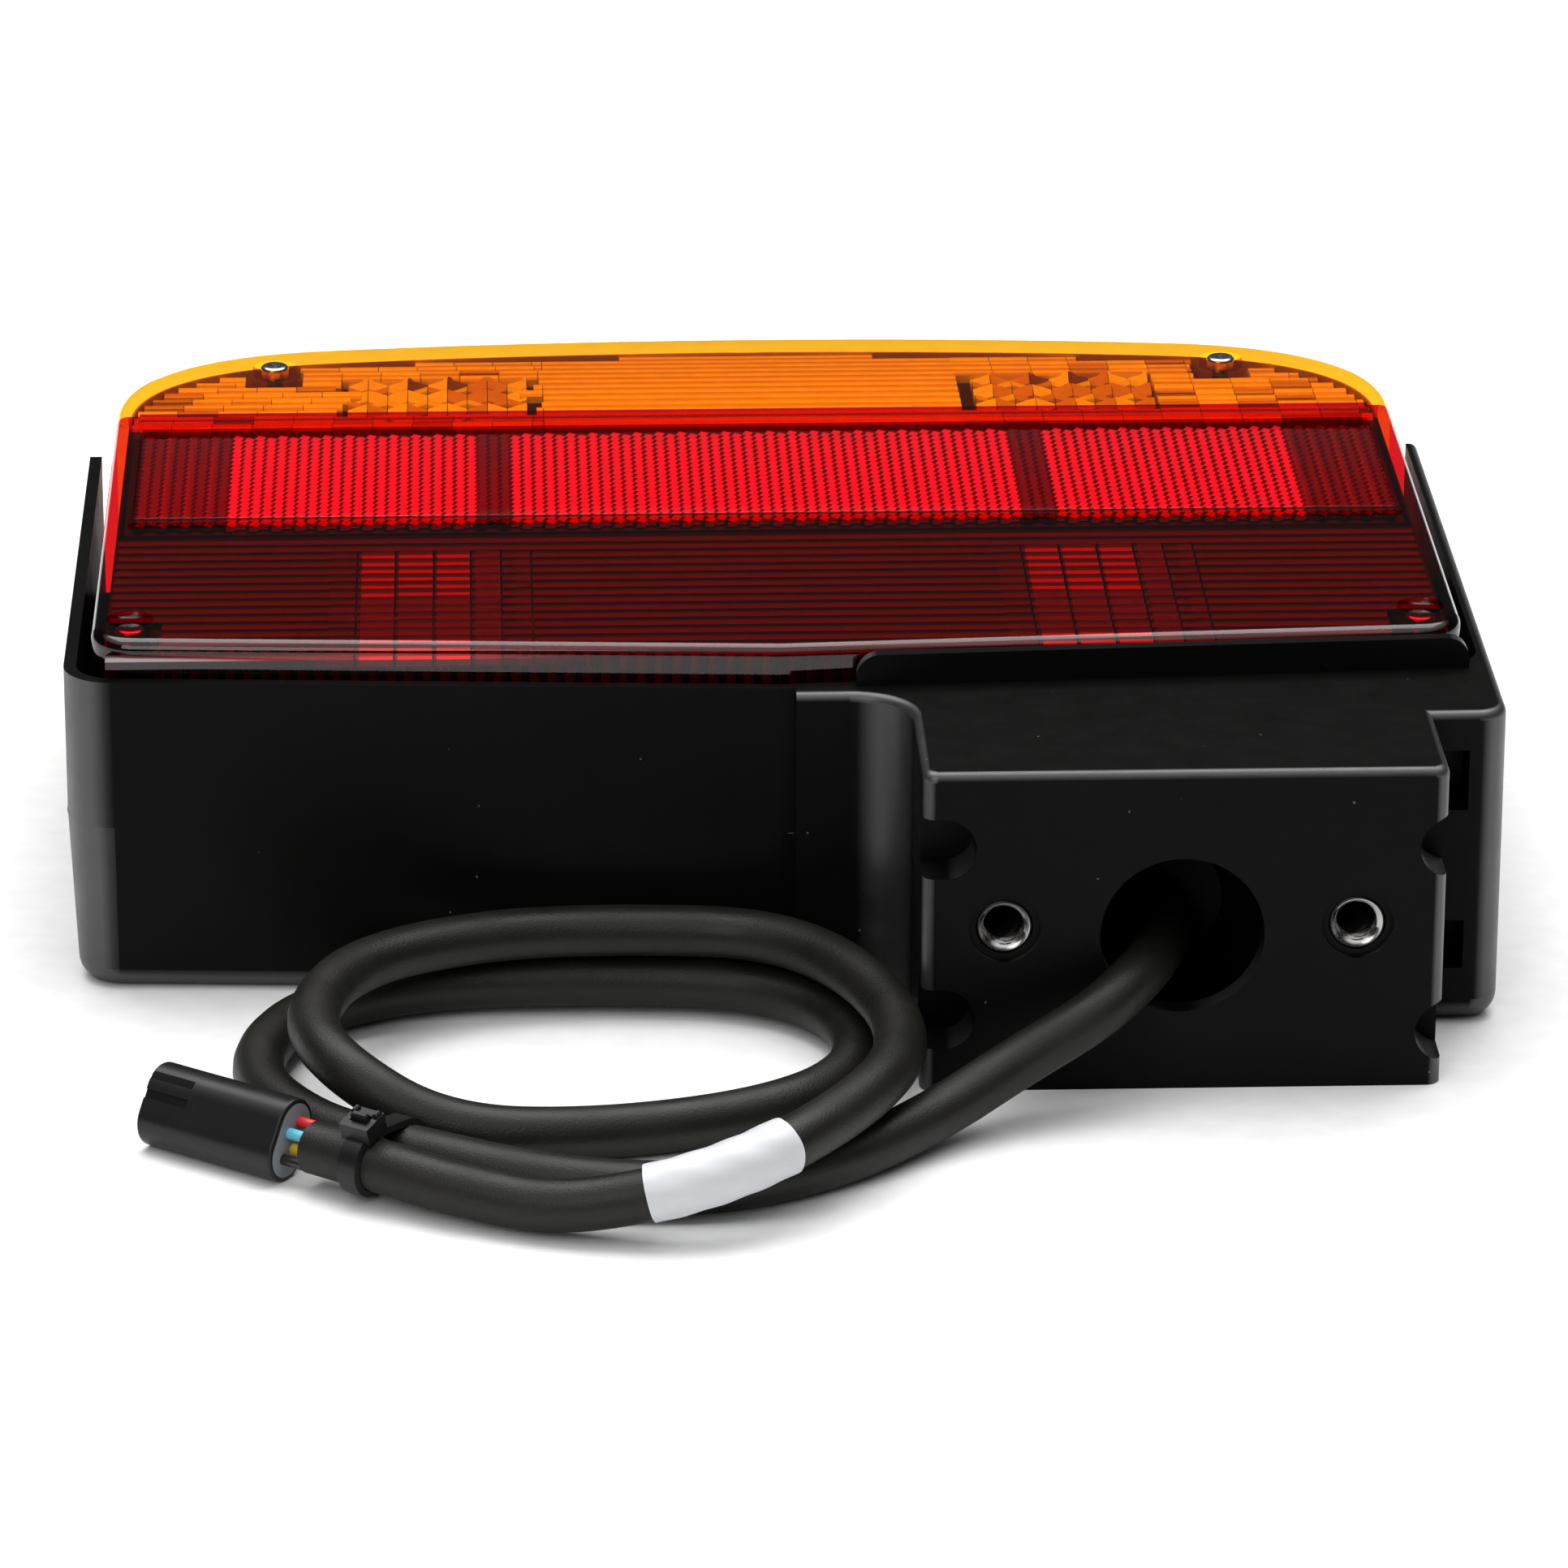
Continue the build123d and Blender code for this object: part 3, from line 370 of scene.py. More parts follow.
# ---------------------------------------------------------------- mesh building
class Builder:
    """Collects vertices, faces and a material number for each face, then makes one object."""

    def __init__(self):
        self.points = []
        self.faces = []
        self.paints = []

    def strip(self, rings, paint, closed_ring=True, capped=True):
        """Skins a row of rings, each a list of points with the same count."""
        first = len(self.points)
        count = len(rings[0])
        for ring in rings:
            self.points.extend(ring)
        steps = count if closed_ring else count - 1
        for row in range(len(rings) - 1):
            for k in range(steps):
                a = first + row * count + k
                b = first + row * count + (k + 1) % count
                self.faces.append((a, b, b + count, a + count))
                self.paints.append(paint)
        if capped:
            last = first + (len(rings) - 1) * count
            self.faces.append(tuple(range(first + count - 1, first - 1, -1)))
            self.faces.append(tuple(range(last, last + count)))
            self.paints.extend((paint, paint))

    def fan(self, outline, apex, base, paints):
        """A low pyramid: outline points joined to apex, each side with its own material, closed below."""
        first = len(self.points)
        count = len(outline)
        self.points.extend(outline)
        self.points.append(apex)
        self.points.extend((x, y, base) for x, y, _ in outline)
        for k in range(count):
            following = (k + 1) % count
            self.faces.append((first + k, first + following, first + count))
            self.paints.append(paints[k])
            self.faces.append((
                first + following, first + k, first + count + 1 + k, first + count + 1 + following,
            ))
            self.paints.append(paints[k])
        self.faces.append(tuple(first + count + 1 + k for k in reversed(range(count))))
        self.paints.append(paints[0])

    def make(self, name, paints, body, smooth_angle=None):
        """The finished object, riding on a CAD body."""
        mesh = bpy.data.meshes.new(name)
        mesh.from_pydata([tuple(p) for p in self.points], [], self.faces)
        for paint in paints:
            mesh.materials.append(paint)
        mesh.polygons.foreach_set("material_index", self.paints)
        if smooth_angle is not None:
            mesh.shade_smooth()
            mesh.set_sharp_from_angle(angle=math.radians(smooth_angle))
        mesh.update()
        made = bpy.data.objects.new(name, mesh)
        bpy.context.scene.collection.objects.link(made)
        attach(made, body)
        return made


# ---------------------------------------------------------------- the lens and its optics
LENS_LOW, LENS_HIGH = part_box("lens_red")
AMBER_LOW, AMBER_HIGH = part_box("lens_amber")
BAND_LOW, BAND_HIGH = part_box("reflex_reflector")
LENS_HALF = LENS_HIGH.x
LENS_T = 2.4 * MM
LENS_TOP = BAND_HIGH.z
LENS_FAR = AMBER_HIGH.y
LENS_VEE = 6.7 * MM
FAR_ARC, FAR_CORNER, FAR_DROP = 0.430, 0.046, 0.0046
SPLIT = AMBER_LOW.y
POST_R = 5.4 * MM
FLUTE = 4.0 * MM
FLUTE_RISE = 0.55 * MM


def half_width_at(y, inset):
    """Half width of the lens at depth y: straight sides, a corner arc, then the long far arc."""
    side, reach = LENS_HALF - inset, LENS_FAR - inset
    long_arc, corner = FAR_ARC - inset, FAR_CORNER - inset
    centre = LENS_FAR - FAR_ARC
    corner_x = LENS_HALF - FAR_CORNER
    corner_y = centre + math.sqrt((FAR_ARC - FAR_CORNER) ** 2 - corner_x ** 2)
    if y <= corner_y:
        return side
    if y >= reach:
        return 0.0
    meets = centre + (corner_y - centre) * long_arc / (FAR_ARC - FAR_CORNER)
    if y < meets:
        return corner_x + math.sqrt(max(0.0, corner ** 2 - (y - corner_y) ** 2))
    return math.sqrt(max(0.0, long_arc ** 2 - (y - centre) ** 2))


def lens_underside(y):
    """Height of the lens's inner face at depth y, which falls in an arc over the amber zone."""
    under = LENS_TOP - LENS_T
    if y <= SPLIT:
        return under
    run = LENS_FAR - SPLIT
    arc = (run ** 2 + FAR_DROP ** 2) / (2 * FAR_DROP)
    return under - arc + math.sqrt(arc ** 2 - (y - SPLIT) ** 2)


def screw_places():
    """Axis of each lens screw, from the screws' own mesh."""
    low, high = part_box("lens_screws")
    head = 2.7 * MM
    near = (high.x - head, low.y + head)
    far = (0.0907, high.y - head)
    return [(side * x, y) for x, y in (near, far) for side in (-1, 1)]


SCREWS = screw_places()
BULBS = [sum(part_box(f"bulb_base_{n}"), Vector()) / 2 for n in (1, 2, 3, 4)]


def clear_spans(y0, y1, limit, gap):
    """Stretches of X from -limit to limit that miss the screw posts at this depth."""
    cuts = sorted(
        (x - gap, x + gap) for x, y in SCREWS if y0 - gap < y < y1 + gap
    )
    spans, start = [], -limit
    for low, high in cuts:
        if low > start:
            spans.append((start, min(low, limit)))
        start = max(start, high)
    if start < limit:
        spans.append((start, limit))
    return [s for s in spans if s[1] - s[0] > 0.8 * MM]


def flute(builder, x0, x1, y0, y1, tilt, paint, rise=FLUTE_RISE, steps=5, slope_light=None):
    """One rounded rib of the inner optics along X, just under the lens; the face rising from its groove can
    take a paint of its own, a painted shade or painted highlight line.
    """
    ends = []
    for x in (x0, x1):
        ring = []
        for k in range(steps + 1):
            share = k / steps
            y = y0 + (y1 - y0) * share
            crown = rise * (math.sin(math.pi * share) - 1) + tilt * (share - 0.5)
            ring.append((x, y, lens_underside(y) - 0.25 * MM + crown))
        floor = lens_underside(y0) - 2.2 * MM
        ring.append((x, y1, floor))
        ring.append((x, y0, floor))
        ends.append(ring)
    start = len(builder.faces)
    builder.strip(ends, paint)
    if slope_light is not None:
        builder.paints[start] = slope_light


def red_flutes(paints):
    """Ribs of the dark red zone, each with a lighter line painted on the face rising from its groove; in front
    of the stop bulbs they become blocks painted lighter, with brighter dashes in some rows, all painted
    highlight.
    """
    build = Builder()
    start, stop = back(1.2), BAND_LOW.y - 0.8 * MM
    rows = round((stop - start) / FLUTE)
    pitch = (stop - start) / rows
    blocks = ((-19, -14, 0), (-13.4, -7.2, 2), (-6.8, -0.4, 2), (0, 6.2, 2), (6.8, 11.6, 1), (14, 17, 0))
    rng = random.Random(5)
    for row in range(rows):
        y0 = start + row * pitch
        y1 = y0 + pitch * 0.94
        for low, high in clear_spans(y0, y1, LENS_HALF - LENS_T - 0.4 * MM, POST_R):
            cuts = [low]
            marks = []
            for bulb in BULBS[:2]:
                for left, right, tone in blocks:
                    marks.append((bulb.x + left * MM, bulb.x + right * MM, tone))
            for left, right, tone in sorted(marks):
                if left > low and right < high and row < rows - 2:
                    if left > cuts[-1]:
                        flute(build, cuts[-1], left, y0, y1, 0, 0, slope_light=1)
                    # Painted highlight: blocks get a lighter paint, and in the first three rows and from the
                    # ninth row on a brighter dash on the rising face.
                    edge = row < 3 or 8 <= row < rows - 2
                    base = (1, 2, 2)[tone]
                    lit_dash = (1, 2, 3)[tone] if edge else (1, 1, 2)[tone]
                    tilt = 0.5 * MM * (rng.random() - 0.5)
                    flute(build, left, right - 0.35 * MM, y0, y1, tilt, base, slope_light=lit_dash)
                    cuts.append(right)
            flute(build, cuts[-1], high, y0, y1, 0, 0, slope_light=1)
    return build.make("lens_red_flutes", paints, "lens", 40)


def front_flutes(paints):
    """Upright ribs behind the front wall of the lens, on both legs of its shallow V."""
    build = Builder()
    pitch = 1.55 * MM
    inner = LENS_HALF - 9 * MM
    near = LENS_LOW.y + LENS_T + 0.5 * MM
    count = int(inner / pitch)
    top, foot = LENS_TOP - LENS_T - 0.4 * MM, LENS_LOW.z + 1 * MM
    slope = LENS_VEE / LENS_HALF
    for side in (-1, 1):
        for k in range(count):
            rings = []
            for z in (foot, top):
                ring = []
                for share in (0, 0.25, 0.5, 0.75, 1):
                    x = side * (k + 0.04 + share * 0.92) * pitch
                    y = near + abs(x) * slope - 0.35 * MM * math.sin(math.pi * share)
                    ring.append((x, y, z))
                ring.append((ring[-1][0], near + abs(ring[-1][0]) * slope + 0.9 * MM, z))
                ring.append((ring[0][0], near + abs(ring[0][0]) * slope + 0.9 * MM, z))
                rings.append(ring if side > 0 else ring[::-1])
            # Alternate ribs are painted lighter, and on the left leg lighter still: painted highlight against
            # the dark ribs between.
            tone = 2 if side < 0 and k % 2 else k % 2
            build.strip(rings, tone)
    return build.make("lens_front_flutes", paints, "lens", 40)


SHADE_SHEET_GAP = LENS_T + 0.05 * MM              # outer face of the shade sheet inside the lens's outer face
SHADE_SHEET_T = 0.35 * MM
SHADE_SHEET_STEPS = 60


def shade_sheets(reds, ambers):
    """Dark sheet inside the lens's side and far walls, painted shade which dims what shows through them."""
    outer_end, inner_end = LENS_FAR - SHADE_SHEET_GAP, LENS_FAR - SHADE_SHEET_GAP - SHADE_SHEET_T
    for name, paint, near, far in (
        ("lens_shade_sheet_red", reds[1], LENS_LOW.y + 9 * MM, SPLIT - 0.2 * MM),
        ("lens_shade_sheet_amber", ambers[1], SPLIT + 0.2 * MM, LENS_FAR),
    ):
        build = Builder()
        stops = [near + (far - near) * k / SHADE_SHEET_STEPS for k in range(SHADE_SHEET_STEPS + 1)]
        for side in (-1, 1):
            rings = []
            for y in stops:
                depth_out, depth_in = min(y, outer_end), min(y, inner_end)
                outer = half_width_at(min(y, outer_end - 0.02 * MM), SHADE_SHEET_GAP)
                inner = half_width_at(depth_in, SHADE_SHEET_GAP + SHADE_SHEET_T)
                top = lens_underside(depth_in) - 0.1 * MM
                foot = LENS_LOW.z + 0.6 * MM
                rings.append([
                    (side * outer, depth_out, foot), (side * outer, depth_out, top),
                    (side * inner, depth_in, top), (side * inner, depth_in, foot),
                ])
            build.strip(rings if side > 0 else [r[::-1] for r in rings], 0)
        build.make(name, [paint], "lens", 40)


HEX_ROW = 2.38 * MM                         # pitch of the corner prisms along a column
HEX_COLUMN = HEX_ROW * math.cos(math.pi / 6)
HEX_DEPTH = 0.75 * MM


def reflex_column_glint(x):
    """Which paints the reflex columns get at x: painted glint fields between dark gaps and dimmer ends."""
    reach = abs(x - 0.0002)
    if reach > 0.0985:
        return 1 if reach < 0.1125 and int(reach / HEX_COLUMN) % 2 else 0
    if 0.0468 < reach < 0.0525:
        return 0
    return 2


def reflex_prisms(paints):
    """Hexagonal corner prisms of the reflex band, each a low three-sided corner in its cell."""
    build = Builder()
    low_x, high_x = BAND_LOW.x + 1.6 * MM, BAND_HIGH.x - 1.6 * MM
    low_y, high_y = BAND_LOW.y + 0.9 * MM, BAND_HIGH.y - 0.9 * MM
    top = LENS_TOP - 1.1 * MM
    radius = HEX_ROW / math.sqrt(3)
    columns = int((high_x - low_x) / HEX_COLUMN)
    for c in range(columns):
        x = low_x + (c + 0.5) * HEX_COLUMN
        tone = reflex_column_glint(x)
        shift = HEX_ROW / 2 * (c % 2)
        rows = int((high_y - low_y - shift) / HEX_ROW)
        for r in range(rows):
            y = low_y + shift + (r + 0.5) * HEX_ROW
            outline = []
            for k in range(6):
                angle = math.pi / 3 * k
                drop = HEX_DEPTH if k % 2 else HEX_DEPTH * 0.45
                outline.append((x + radius * math.cos(angle), y + radius * math.sin(angle), top - drop))
            # Painted glint and painted shade: some sides of each prism are painted bright, others half-lit or
            # dark, so one side of the corner looks lit.
            sides = {2: (1, 2, 0, 0, 2, 2), 1: (0, 1, 0, 0, 1, 0), 0: (0,) * 6}[tone]
            build.fan(outline, (x, y, top), top - 1.6 * MM, sides)
    return build.make("reflex_prisms", paints, "lens")


def reflex_window(paint):
    """Clear face of the reflex reflector, set flush in the lens with a rounded margin."""
    build = Builder()
    bevel = 0.5 * MM
    low, high = BAND_LOW, BAND_HIGH
    side = 1.5 * MM
    left, right = low.x + side + 0.05 * MM, high.x - side - 0.05 * MM
    front, rear = low.y + 0.85 * MM, high.y - 0.85 * MM
    rings = []
    for inset, z in ((0, LENS_TOP - 1.0 * MM), (0, LENS_TOP - bevel), (0.3 * bevel, LENS_TOP - 0.3 * bevel),
                     (bevel, LENS_TOP)):
        rings.append([
            (left + inset, front + inset, z), (right - inset, front + inset, z),
            (right - inset, rear - inset, z), (left + inset, rear - inset, z),
        ])
    build.strip(rings, 0)
    window = build.make("reflex_window", [paint], "lens", 30)
    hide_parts("reflex_reflector")
    return window


def amber_flutes(paints):
    """Ribs of the amber zone, broken into stepped blocks towards the ends and around the windows."""
    build = Builder()
    start, stop = SPLIT + 0.6 * MM, LENS_FAR - LENS_T - 1.0 * MM
    rows = round((stop - start) / FLUTE)
    pitch = (stop - start) / rows
    rng = random.Random(11)
    block = 7.5 * MM
    window = 17.5 * MM
    window_near, window_far = back(128.5), back(158.5)
    for row in range(rows):
        y0 = start + row * pitch
        y1 = y0 + pitch * 0.95
        limit = half_width_at(y1, LENS_T + 0.5 * MM)
        for low, high in clear_spans(y0, y1, limit, POST_R):
            x = low
            while x < high - 0.5 * MM:
                if abs(x) < 39 * MM:
                    step = min(high, 39.5 * MM) - x
                else:
                    step = min(block, high - x)
                    if x < -39.5 * MM < x + step:
                        step = -39.5 * MM - x
                middle = x + step / 2
                inside = window_near < y0 and y1 < window_far and min(
                    abs(middle - b.x) for b in BULBS[2:]) < window
                if not inside:
                    outer = max(0.0, abs(middle) / MM - 40)
                    tilt = (rng.random() - 0.5) * 0.9 * MM if outer else 0.0
                    # Painted shade: away from the middle some blocks are painted darker at random, and the
                    # face rising from each groove darker than its crown.
                    tone = 0 if rng.random() > outer / 240 else 1
                    flute(build, x, x + step - 0.15 * MM * (outer > 0), y0, y1, tilt, tone, slope_light=1 + tone)
                x += max(step, 0.3 * MM)
    return build.make("lens_amber_flutes", paints, "lens", 40)


def amber_windows(paints):
    """Faceted bulb windows of the amber zone: rows of tilted facets that fan out from the bulb."""
    build = Builder()
    columns, rows = 9, 6
    half = 17.0 * MM
    near, far = back(128.8), back(158.2)
    rng = random.Random(3)
    for bulb in BULBS[2:]:
        for c in range(columns):
            for r in range(rows):
                x0 = bulb.x - half + 2 * half * c / columns
                x1 = bulb.x - half + 2 * half * (c + 1) / columns - 0.15 * MM
                y0 = near + (far - near) * r / rows
                y1 = near + (far - near) * (r + 1) / rows - 0.15 * MM
                out = (c - (columns - 1) / 2) / columns
                lean = ((c + r) % 2 - 0.5) * 1.1 * MM
                rise = ((r % 2) - 0.5) * 1.3 * MM + (rng.random() - 0.5) * 0.5 * MM
                base = lens_underside(y1) - 1.1 * MM
                floor = lens_underside(y0) - 3.2 * MM
                ring_low = [(x0, y0, floor), (x1, y0, floor), (x1, y1, floor), (x0, y1, floor)]
                ring_top = [
                    (x0, y0, base - lean - rise * 0.5), (x1, y0, base + lean - rise * 0.5),
                    (x1, y1, base + lean + rise * 0.5), (x0, y1, base - lean + rise * 0.5),
                ]
                # Painted highlight and painted shade: facets are painted lit or shaded at random, and
                # alternate middle facets of the first and last rows dark.
                tone = 2 if (r in (0, rows - 1) and abs(out) < 0.3 and c % 2) else int(rng.random() < 0.45)
                build.strip([ring_low, ring_top], tone)
    return build.make("lens_amber_windows", paints, "lens")


# ---------------------------------------------------------------- the cable
ROUTE_MM = [
    (66.5, -8, 18.8), (66.5, -23, 18.8), (63.4, -37, 20.4), (59.2, -49.5, 21.4), (51.5, -57.8, 17.8),
    (38, -62.5, 11.4), (24, -71.5, 5.8), (7, -87.5, 4.6), (-15, -98.5, 4.6), (-41, -95, 4.8),
    (-64.7, -83.7, 5.9), (-80, -71.5, 4.6), (-92.5, -49, 4.6), (-86, -23.5, 4.8), (-64, -11.5, 5.4),
    (-33, -10.8, 5.7), (-5, -13.5, 5.7), (11, -28, 5.4), (12.5, -50, 5), (-2.5, -66.5, 4.6),
    (-32, -75.3, 4.6), (-59, -75.2, 5.6), (-77, -66.5, 14), (-82.5, -47, 15), (-74, -24, 15.2),
    (-51, -12.5, 15.2), (-26, -11.3, 15.3), (-2, -14, 15.3), (12.3, -31, 15.3), (19.8, -58.5, 15.2),
    (13.5, -83, 15.2), (-10, -108.5, 12.3), (-38, -107, 4.9), (-56, -99.2, 5.6), (-70, -91, 6.75),
    (-80.5, -83.4, 6.75),
]


def make_cable(paint):
    """The sheathed cable as one NURBS curve through its route, from the gland to the connector."""
    data = bpy.data.curves.new("cable_sheath", "CURVE")
    data.dimensions = "3D"
    spline = data.splines.new("NURBS")
    spline.points.add(len(ROUTE_MM) - 1)
    for point, (x, y, z) in zip(spline.points, ROUTE_MM):
        point.co = (x * MM, back(y), z * MM, 1)
    spline.order_u = 3
    spline.use_endpoint_u = True
    spline.resolution_u = 14
    data.bevel_depth = CABLE_R
    data.bevel_resolution = 7
    data.use_fill_caps = True
    data.materials.append(paint)
    cable = bpy.data.objects.new("cable_sheath", data)
    bpy.context.scene.collection.objects.link(cable)
    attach(cable, "housing")
    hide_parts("cable")
    return cable


def centre_line(curve):
    """Points along the middle of a curve object, read from its own spline."""
    bare = curve.data.copy()
    bare.bevel_depth = 0
    holder = bpy.data.objects.new("centre_line", bare)
    mesh = bpy.data.meshes.new_from_object(holder)
    line = np.array([v.co for v in mesh.vertices], float)
    bpy.data.objects.remove(holder)
    bpy.data.meshes.remove(mesh)
    bpy.data.curves.remove(bare)
    return line


def tube_frames(line):
    """A side and an up vector at each point of a line, carried along it without twisting."""
    tangents = np.gradient(line, axis=0)
    tangents /= np.linalg.norm(tangents, axis=1)[:, None]
    side = np.cross(tangents[0], (0, 0, 1))
    sides, ups = [], []
    for tangent in tangents:
        side = side - tangent * (side @ tangent)
        side /= np.linalg.norm(side)
        sides.append(side)
        ups.append(np.cross(side, tangent))
    return np.array(sides), np.array(ups), tangents


LABEL_SHIFT = 5 * MM


def make_label(line, paint):
    """Blank film label wrapped once around the cable, with its overlap standing a little proud."""
    lengths = np.concatenate([[0], np.cumsum(np.linalg.norm(np.diff(line, axis=0), axis=1))])
    low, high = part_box("cable_label")
    inside = [k for k, p in enumerate(line) if low.x + 4 * MM < p[0] < high.x - 3 * MM and k > len(line) // 2
              and p[1] < low.y + 36 * MM]
    ends = lengths[inside[0]] + LABEL_SHIFT, lengths[inside[-1]] + LABEL_SHIFT
    stations = np.linspace(*ends, 26)
    path = np.array([[np.interp(s, lengths, line[:, axis]) for axis in range(3)] for s in stations])
    sides, ups, _ = tube_frames(path)
    build = Builder()
    turns = 56
    outer, inner = CABLE_R + 0.34 * MM, CABLE_R + 0.02 * MM
    rings = []
    for surface in (outer, inner):
        order = range(len(path)) if surface == outer else range(len(path) - 1, -1, -1)
        for k in order:
            ring = []
            for t in range(turns):
                angle = 2 * math.pi * t / turns
                lift = 0.16 * MM if surface == outer and 0.6 < angle < 1.5 else 0.0
                crinkle = 0.07 * MM * math.sin(5.0 * angle + 0.9 * k) * (surface == outer)
                reach = surface + lift + crinkle
                ring.append(path[k] + sides[k] * reach * math.cos(angle) + ups[k] * reach * math.sin(angle))
            rings.append(ring)
    rings.append(rings[0])
    build.strip(rings, 0, capped=False)
    label = build.make("label_wrap", [paint], "housing", 35)
    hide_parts("cable_label")
    return label


def hull_around(centres, reach, count=48):
    """Convex belt around circles of one radius: the outermost points in order."""
    cloud = sorted(
        (u + reach * math.cos(2 * math.pi * k / count), v + reach * math.sin(2 * math.pi * k / count))
        for u, v in centres for k in range(count)
    )
    halves = []
    for points in (cloud, cloud[::-1]):
        chain = []
        for point in points:
            while len(chain) > 1 and (
                (chain[-1][0] - chain[-2][0]) * (point[1] - chain[-2][1])
                - (chain[-1][1] - chain[-2][1]) * (point[0] - chain[-2][0])
            ) <= 0:
                chain.pop()
            chain.append(point)
        halves.append(chain[:-1])
    return halves[0] + halves[1]


TIE_T, TIE_W = 1.0 * MM, 4.2 * MM
TIE_REACH = 22 * MM                         # strands further off than this are not in the bundle
TIE_CHAMFER = 0.25 * MM


def make_tie(line, paint):
    """Cable tie drawn tight around the strands that it bundles, with its lock head and cut-off tail."""
    end = Vector(line[-1])
    way = (end - Vector(line[-8])).normalized()
    low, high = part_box("cable_tie")
    middle = (low + high) / 2
    rear = Vector((-way.y, way.x, 0)).normalized()
    if rear.y < 0:
        rear = -rear
    up = Vector((0, 0, 1))
    strands = []
    for before, after in zip(line[:-1], line[1:]):
        a, b = Vector(before), Vector(after)
        from_plane, to_plane = (a - middle).dot(way), (b - middle).dot(way)
        if from_plane * to_plane < 0:
            here = a.lerp(b, from_plane / (from_plane - to_plane))
            if (here - middle).length < TIE_REACH:
                strands.append(((here - middle).dot(rear), (here - middle).dot(up)))
    strands = sorted(strands)[:2]
    belt = hull_around(strands, CABLE_R + 0.12 * MM)
    centre_u = sum(u for u, _ in belt) / len(belt)
    centre_v = sum(v for _, v in belt) / len(belt)
    build = Builder()
    rings = []
    for k, (u, v) in enumerate(belt):
        before, after = belt[k - 1], belt[(k + 1) % len(belt)]
        along = Vector((after[0] - before[0], after[1] - before[1])).normalized()
        out = Vector((along.y, -along.x))
        if out.dot(Vector((u - centre_u, v - centre_v))) < 0:
            out = -out
        ring = []
        for depth, wide in ((0, -0.5), (TIE_T, -0.42), (TIE_T, 0.42), (0, 0.5)):
            spot = middle + rear * (u + out.x * depth) + up * (v + out.y * depth) + way * wide * TIE_W
            ring.append(tuple(spot))
        rings.append(ring)
    rings.append(rings[0])
    build.strip(rings, 0, capped=False)
    front = min(strands)
    base = middle + rear * front[0] + up * (front[1] + CABLE_R + TIE_T * 0.6)
    lean = (up * 0.96 - rear * 0.28).normalized()
    across = lean.cross(way).normalized()

    def block(shift, size, hole=None):
        """A box on the tie's head, with an optional rectangular hole down through it."""
        place = base + way * shift[0] + across * shift[1] + lean * shift[2]
        half = [s / 2 for s in size]
        outer = [(-half[0], -half[1]), (half[0], -half[1]), (half[0], half[1]), (-half[0], half[1])]

        def corner(a, b, c):
            return tuple(place + way * a + across * b + lean * c)

        if hole is None:
            levels = ((-half[2], 0), (half[2] - TIE_CHAMFER, 0), (half[2], TIE_CHAMFER))
            build.strip([[
                corner(a - math.copysign(inset, a), b - math.copysign(inset, b), c) for a, b in outer
            ] for c, inset in levels], 0)
            return
        inner = [(math.copysign(hole[0] / 2, a), math.copysign(hole[1] / 2, b)) for a, b in outer]
        build.strip([
            [corner(*p, -half[2]) for p in outer], [corner(*p, half[2]) for p in outer],
            [corner(*p, half[2]) for p in inner], [corner(*p, -half[2]) for p in inner],
            [corner(*p, -half[2]) for p in outer],
        ], 0, capped=False)

    block((0, 0, 1.6 * MM), (5.6 * MM, 5.2 * MM, 3.2 * MM), (3.4 * MM, 2.2 * MM))
    block((0, 0.2 * MM, 2.6 * MM), (3.0 * MM, 1.2 * MM, 3.6 * MM))
    for side in (-1, 1):
        block((side * 2.1 * MM, -1.6 * MM, 3.4 * MM), (0.9 * MM, 1.6 * MM, 0.9 * MM))
    tie = build.make("tie_strap", [paint], "housing", 35)
    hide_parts("cable_tie")
    return tie


# ---------------------------------------------------------------- the threaded inserts
INSERT_BORE, THREAD_ROOT, THREAD_PITCH = 3.4 * MM, 4.0 * MM, 1.25 * MM


def threaded_inserts(bright, dark):
    """Turned inserts with an internal helical thread, bright on its first turns and painted dark elsewhere:
    painted shade deeper in the bore.
    """
    build = Builder()
    low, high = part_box("threaded_inserts")
    outer = (high.z - low.z) / 2
    height = (high.z + low.z) / 2
    length = high.y - low.y
    turns, sides = 9, 48
    steps = turns * 6
    for x in (low.x + outer, high.x - outer):
        rings = []
        for s in range(sides + 1):
            angle = 2 * math.pi * s / sides
            profile = [(outer - 0.4 * MM, 0.0), (outer, 0.4 * MM), (outer, length), (INSERT_BORE, length)]
            for k in range(steps, -1, -1):
                depth = 0.6 * MM + (length - 1.2 * MM) * k / steps
                phase = (depth / THREAD_PITCH + s / sides) % 1.0
                crest = abs(2 * phase - 1)
                profile.append((INSERT_BORE + (THREAD_ROOT - INSERT_BORE) * crest, depth))
            profile.append((THREAD_ROOT + 0.35 * MM, 0.0))
            rings.append([
                (x + r * math.cos(angle), low.y + d, height + r * math.sin(angle)) for r, d in profile
            ])
        build.strip(rings, 1, capped=False)
    count = len(rings[0])
    # Painted shade: only the first turns at the mouth keep the bright steel, the deeper thread takes the dark
    # finish.
    first_turns = range(count - 20, count - 1)
    build.paints = [0 if face[0] % count in first_turns else 1 for face in build.faces]
    made = build.make("insert_pair", [bright, dark], "housing", 50)
    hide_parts("threaded_inserts")
    return made


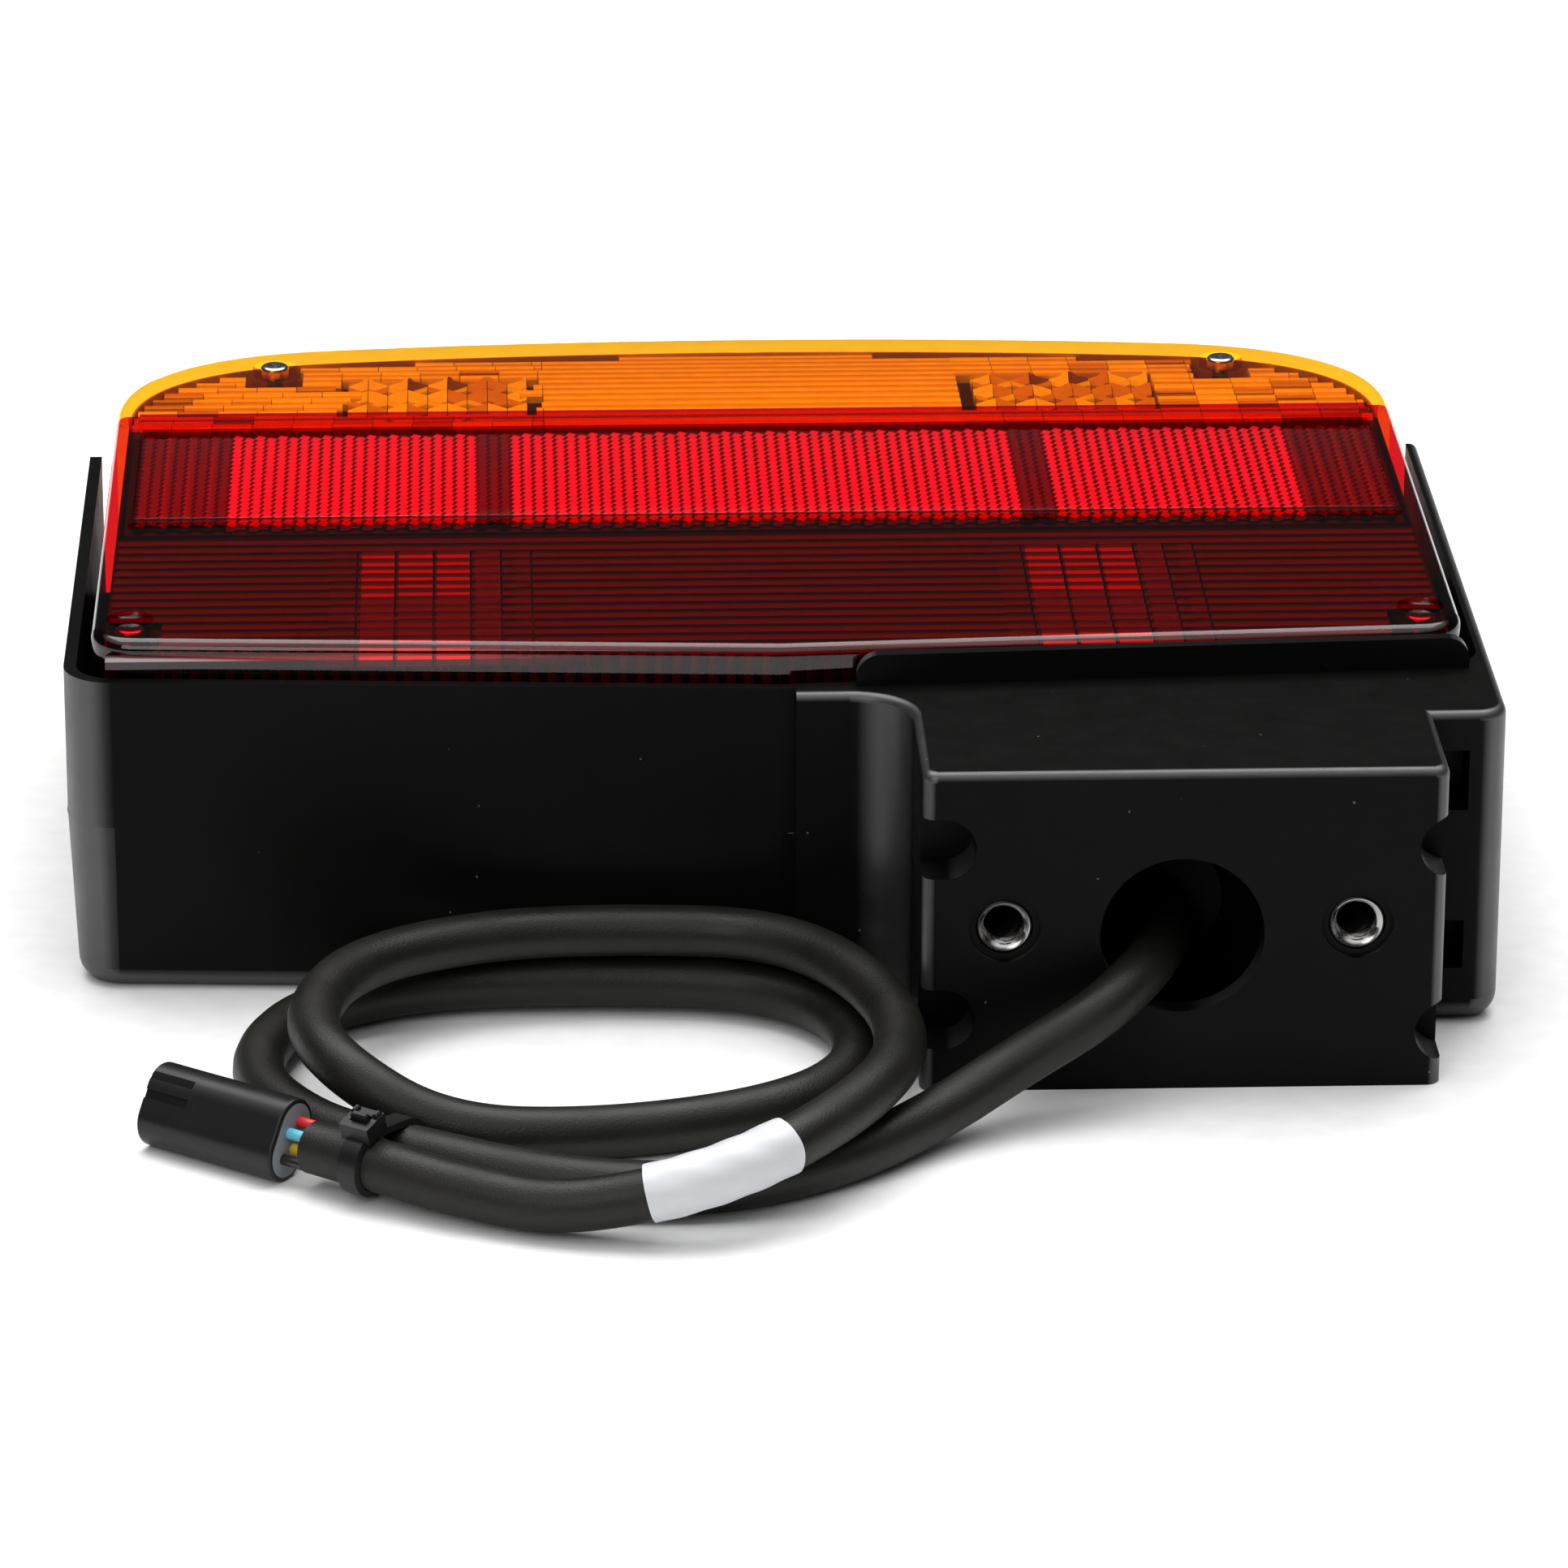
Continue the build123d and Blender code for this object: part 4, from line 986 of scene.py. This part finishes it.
# ---------------------------------------------------------------- housing details
def parting_line(paint):
    """Fine raised seam where the two halves of the mould met, along the left side from 100 mm behind the front
    wall, round its corner and along the front wall to about the middle.
    """
    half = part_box("housing")[1].x
    seam_z, corner, vee, step = 31 * MM, 9 * MM, 6.7 * MM, 2.5 * MM
    proud, steps = 0.02 * MM, 8
    points = [Vector((-half - proud, back(depth), seam_z)) for depth in (100, corner / MM)]
    for k in range(1, steps + 1):
        angle = math.pi / 2 * k / steps
        points.append(Vector((
            -half + corner - corner * math.cos(angle),
            back(0) + corner - corner * math.sin(angle) - 0.35 * MM * k / steps,
            seam_z,
        )))
    points.append(Vector((step - 0.3 * MM, back(0) - vee * (1 - step / half) - proud, seam_z)))
    data = bpy.data.curves.new("parting_line", "CURVE")
    data.dimensions = "3D"
    spline = data.splines.new("POLY")
    spline.points.add(len(points) - 1)
    for point, place in zip(spline.points, points):
        point.co = (*place, 1)
    data.bevel_depth = 0.13 * MM
    data.bevel_resolution = 2
    data.use_fill_caps = True
    data.materials.append(paint)
    seam = bpy.data.objects.new("parting_line", data)
    bpy.context.scene.collection.objects.link(seam)
    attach(seam, "housing")
    return seam


# ---------------------------------------------------------------- putting it together
def paint_nodes(finishes):
    """Gives each CAD node the finish of its slot in the record."""
    slots = {entry["node"]: entry["material_slot"] for entry in frame["record"]["subparts"]}
    for name, node in frame["nodes"].items():
        node.data.materials.clear()
        node.data.materials.append(finishes[slots[name]])
        node.data.polygons.foreach_set("material_index", [0] * len(node.data.polygons))


def main():
    make_camera()
    finishes = make_materials()
    paint_nodes(finishes)
    cable = make_cable(finishes["cable_pvc"])
    line = centre_line(cable)
    label = make_label(line, finishes["label_film"])
    tie = make_tie(line, finishes["tie_nylon"])
    reds = [finishes[n] for n in ("optic_red_dark", "optic_red_line", "optic_red_mid", "optic_red_highlight")]
    ambers = [finishes[n] for n in ("optic_amber", "optic_amber_half_shade", "optic_amber_dark")]
    red_flutes(reds)
    front_flutes(reds)
    shade_sheets(reds, ambers)
    reflex_prisms([finishes["reflex_dark"], finishes["optic_red_mid"], finishes["reflex_glint"]])
    reflex_window(finishes["reflex_red_pmma"])
    amber_flutes(ambers)
    amber_windows(ambers)
    threaded_inserts(finishes["insert_steel"], finishes["insert_dark"])
    parting_line(finishes["black_abs"])
    make_studio()


main()
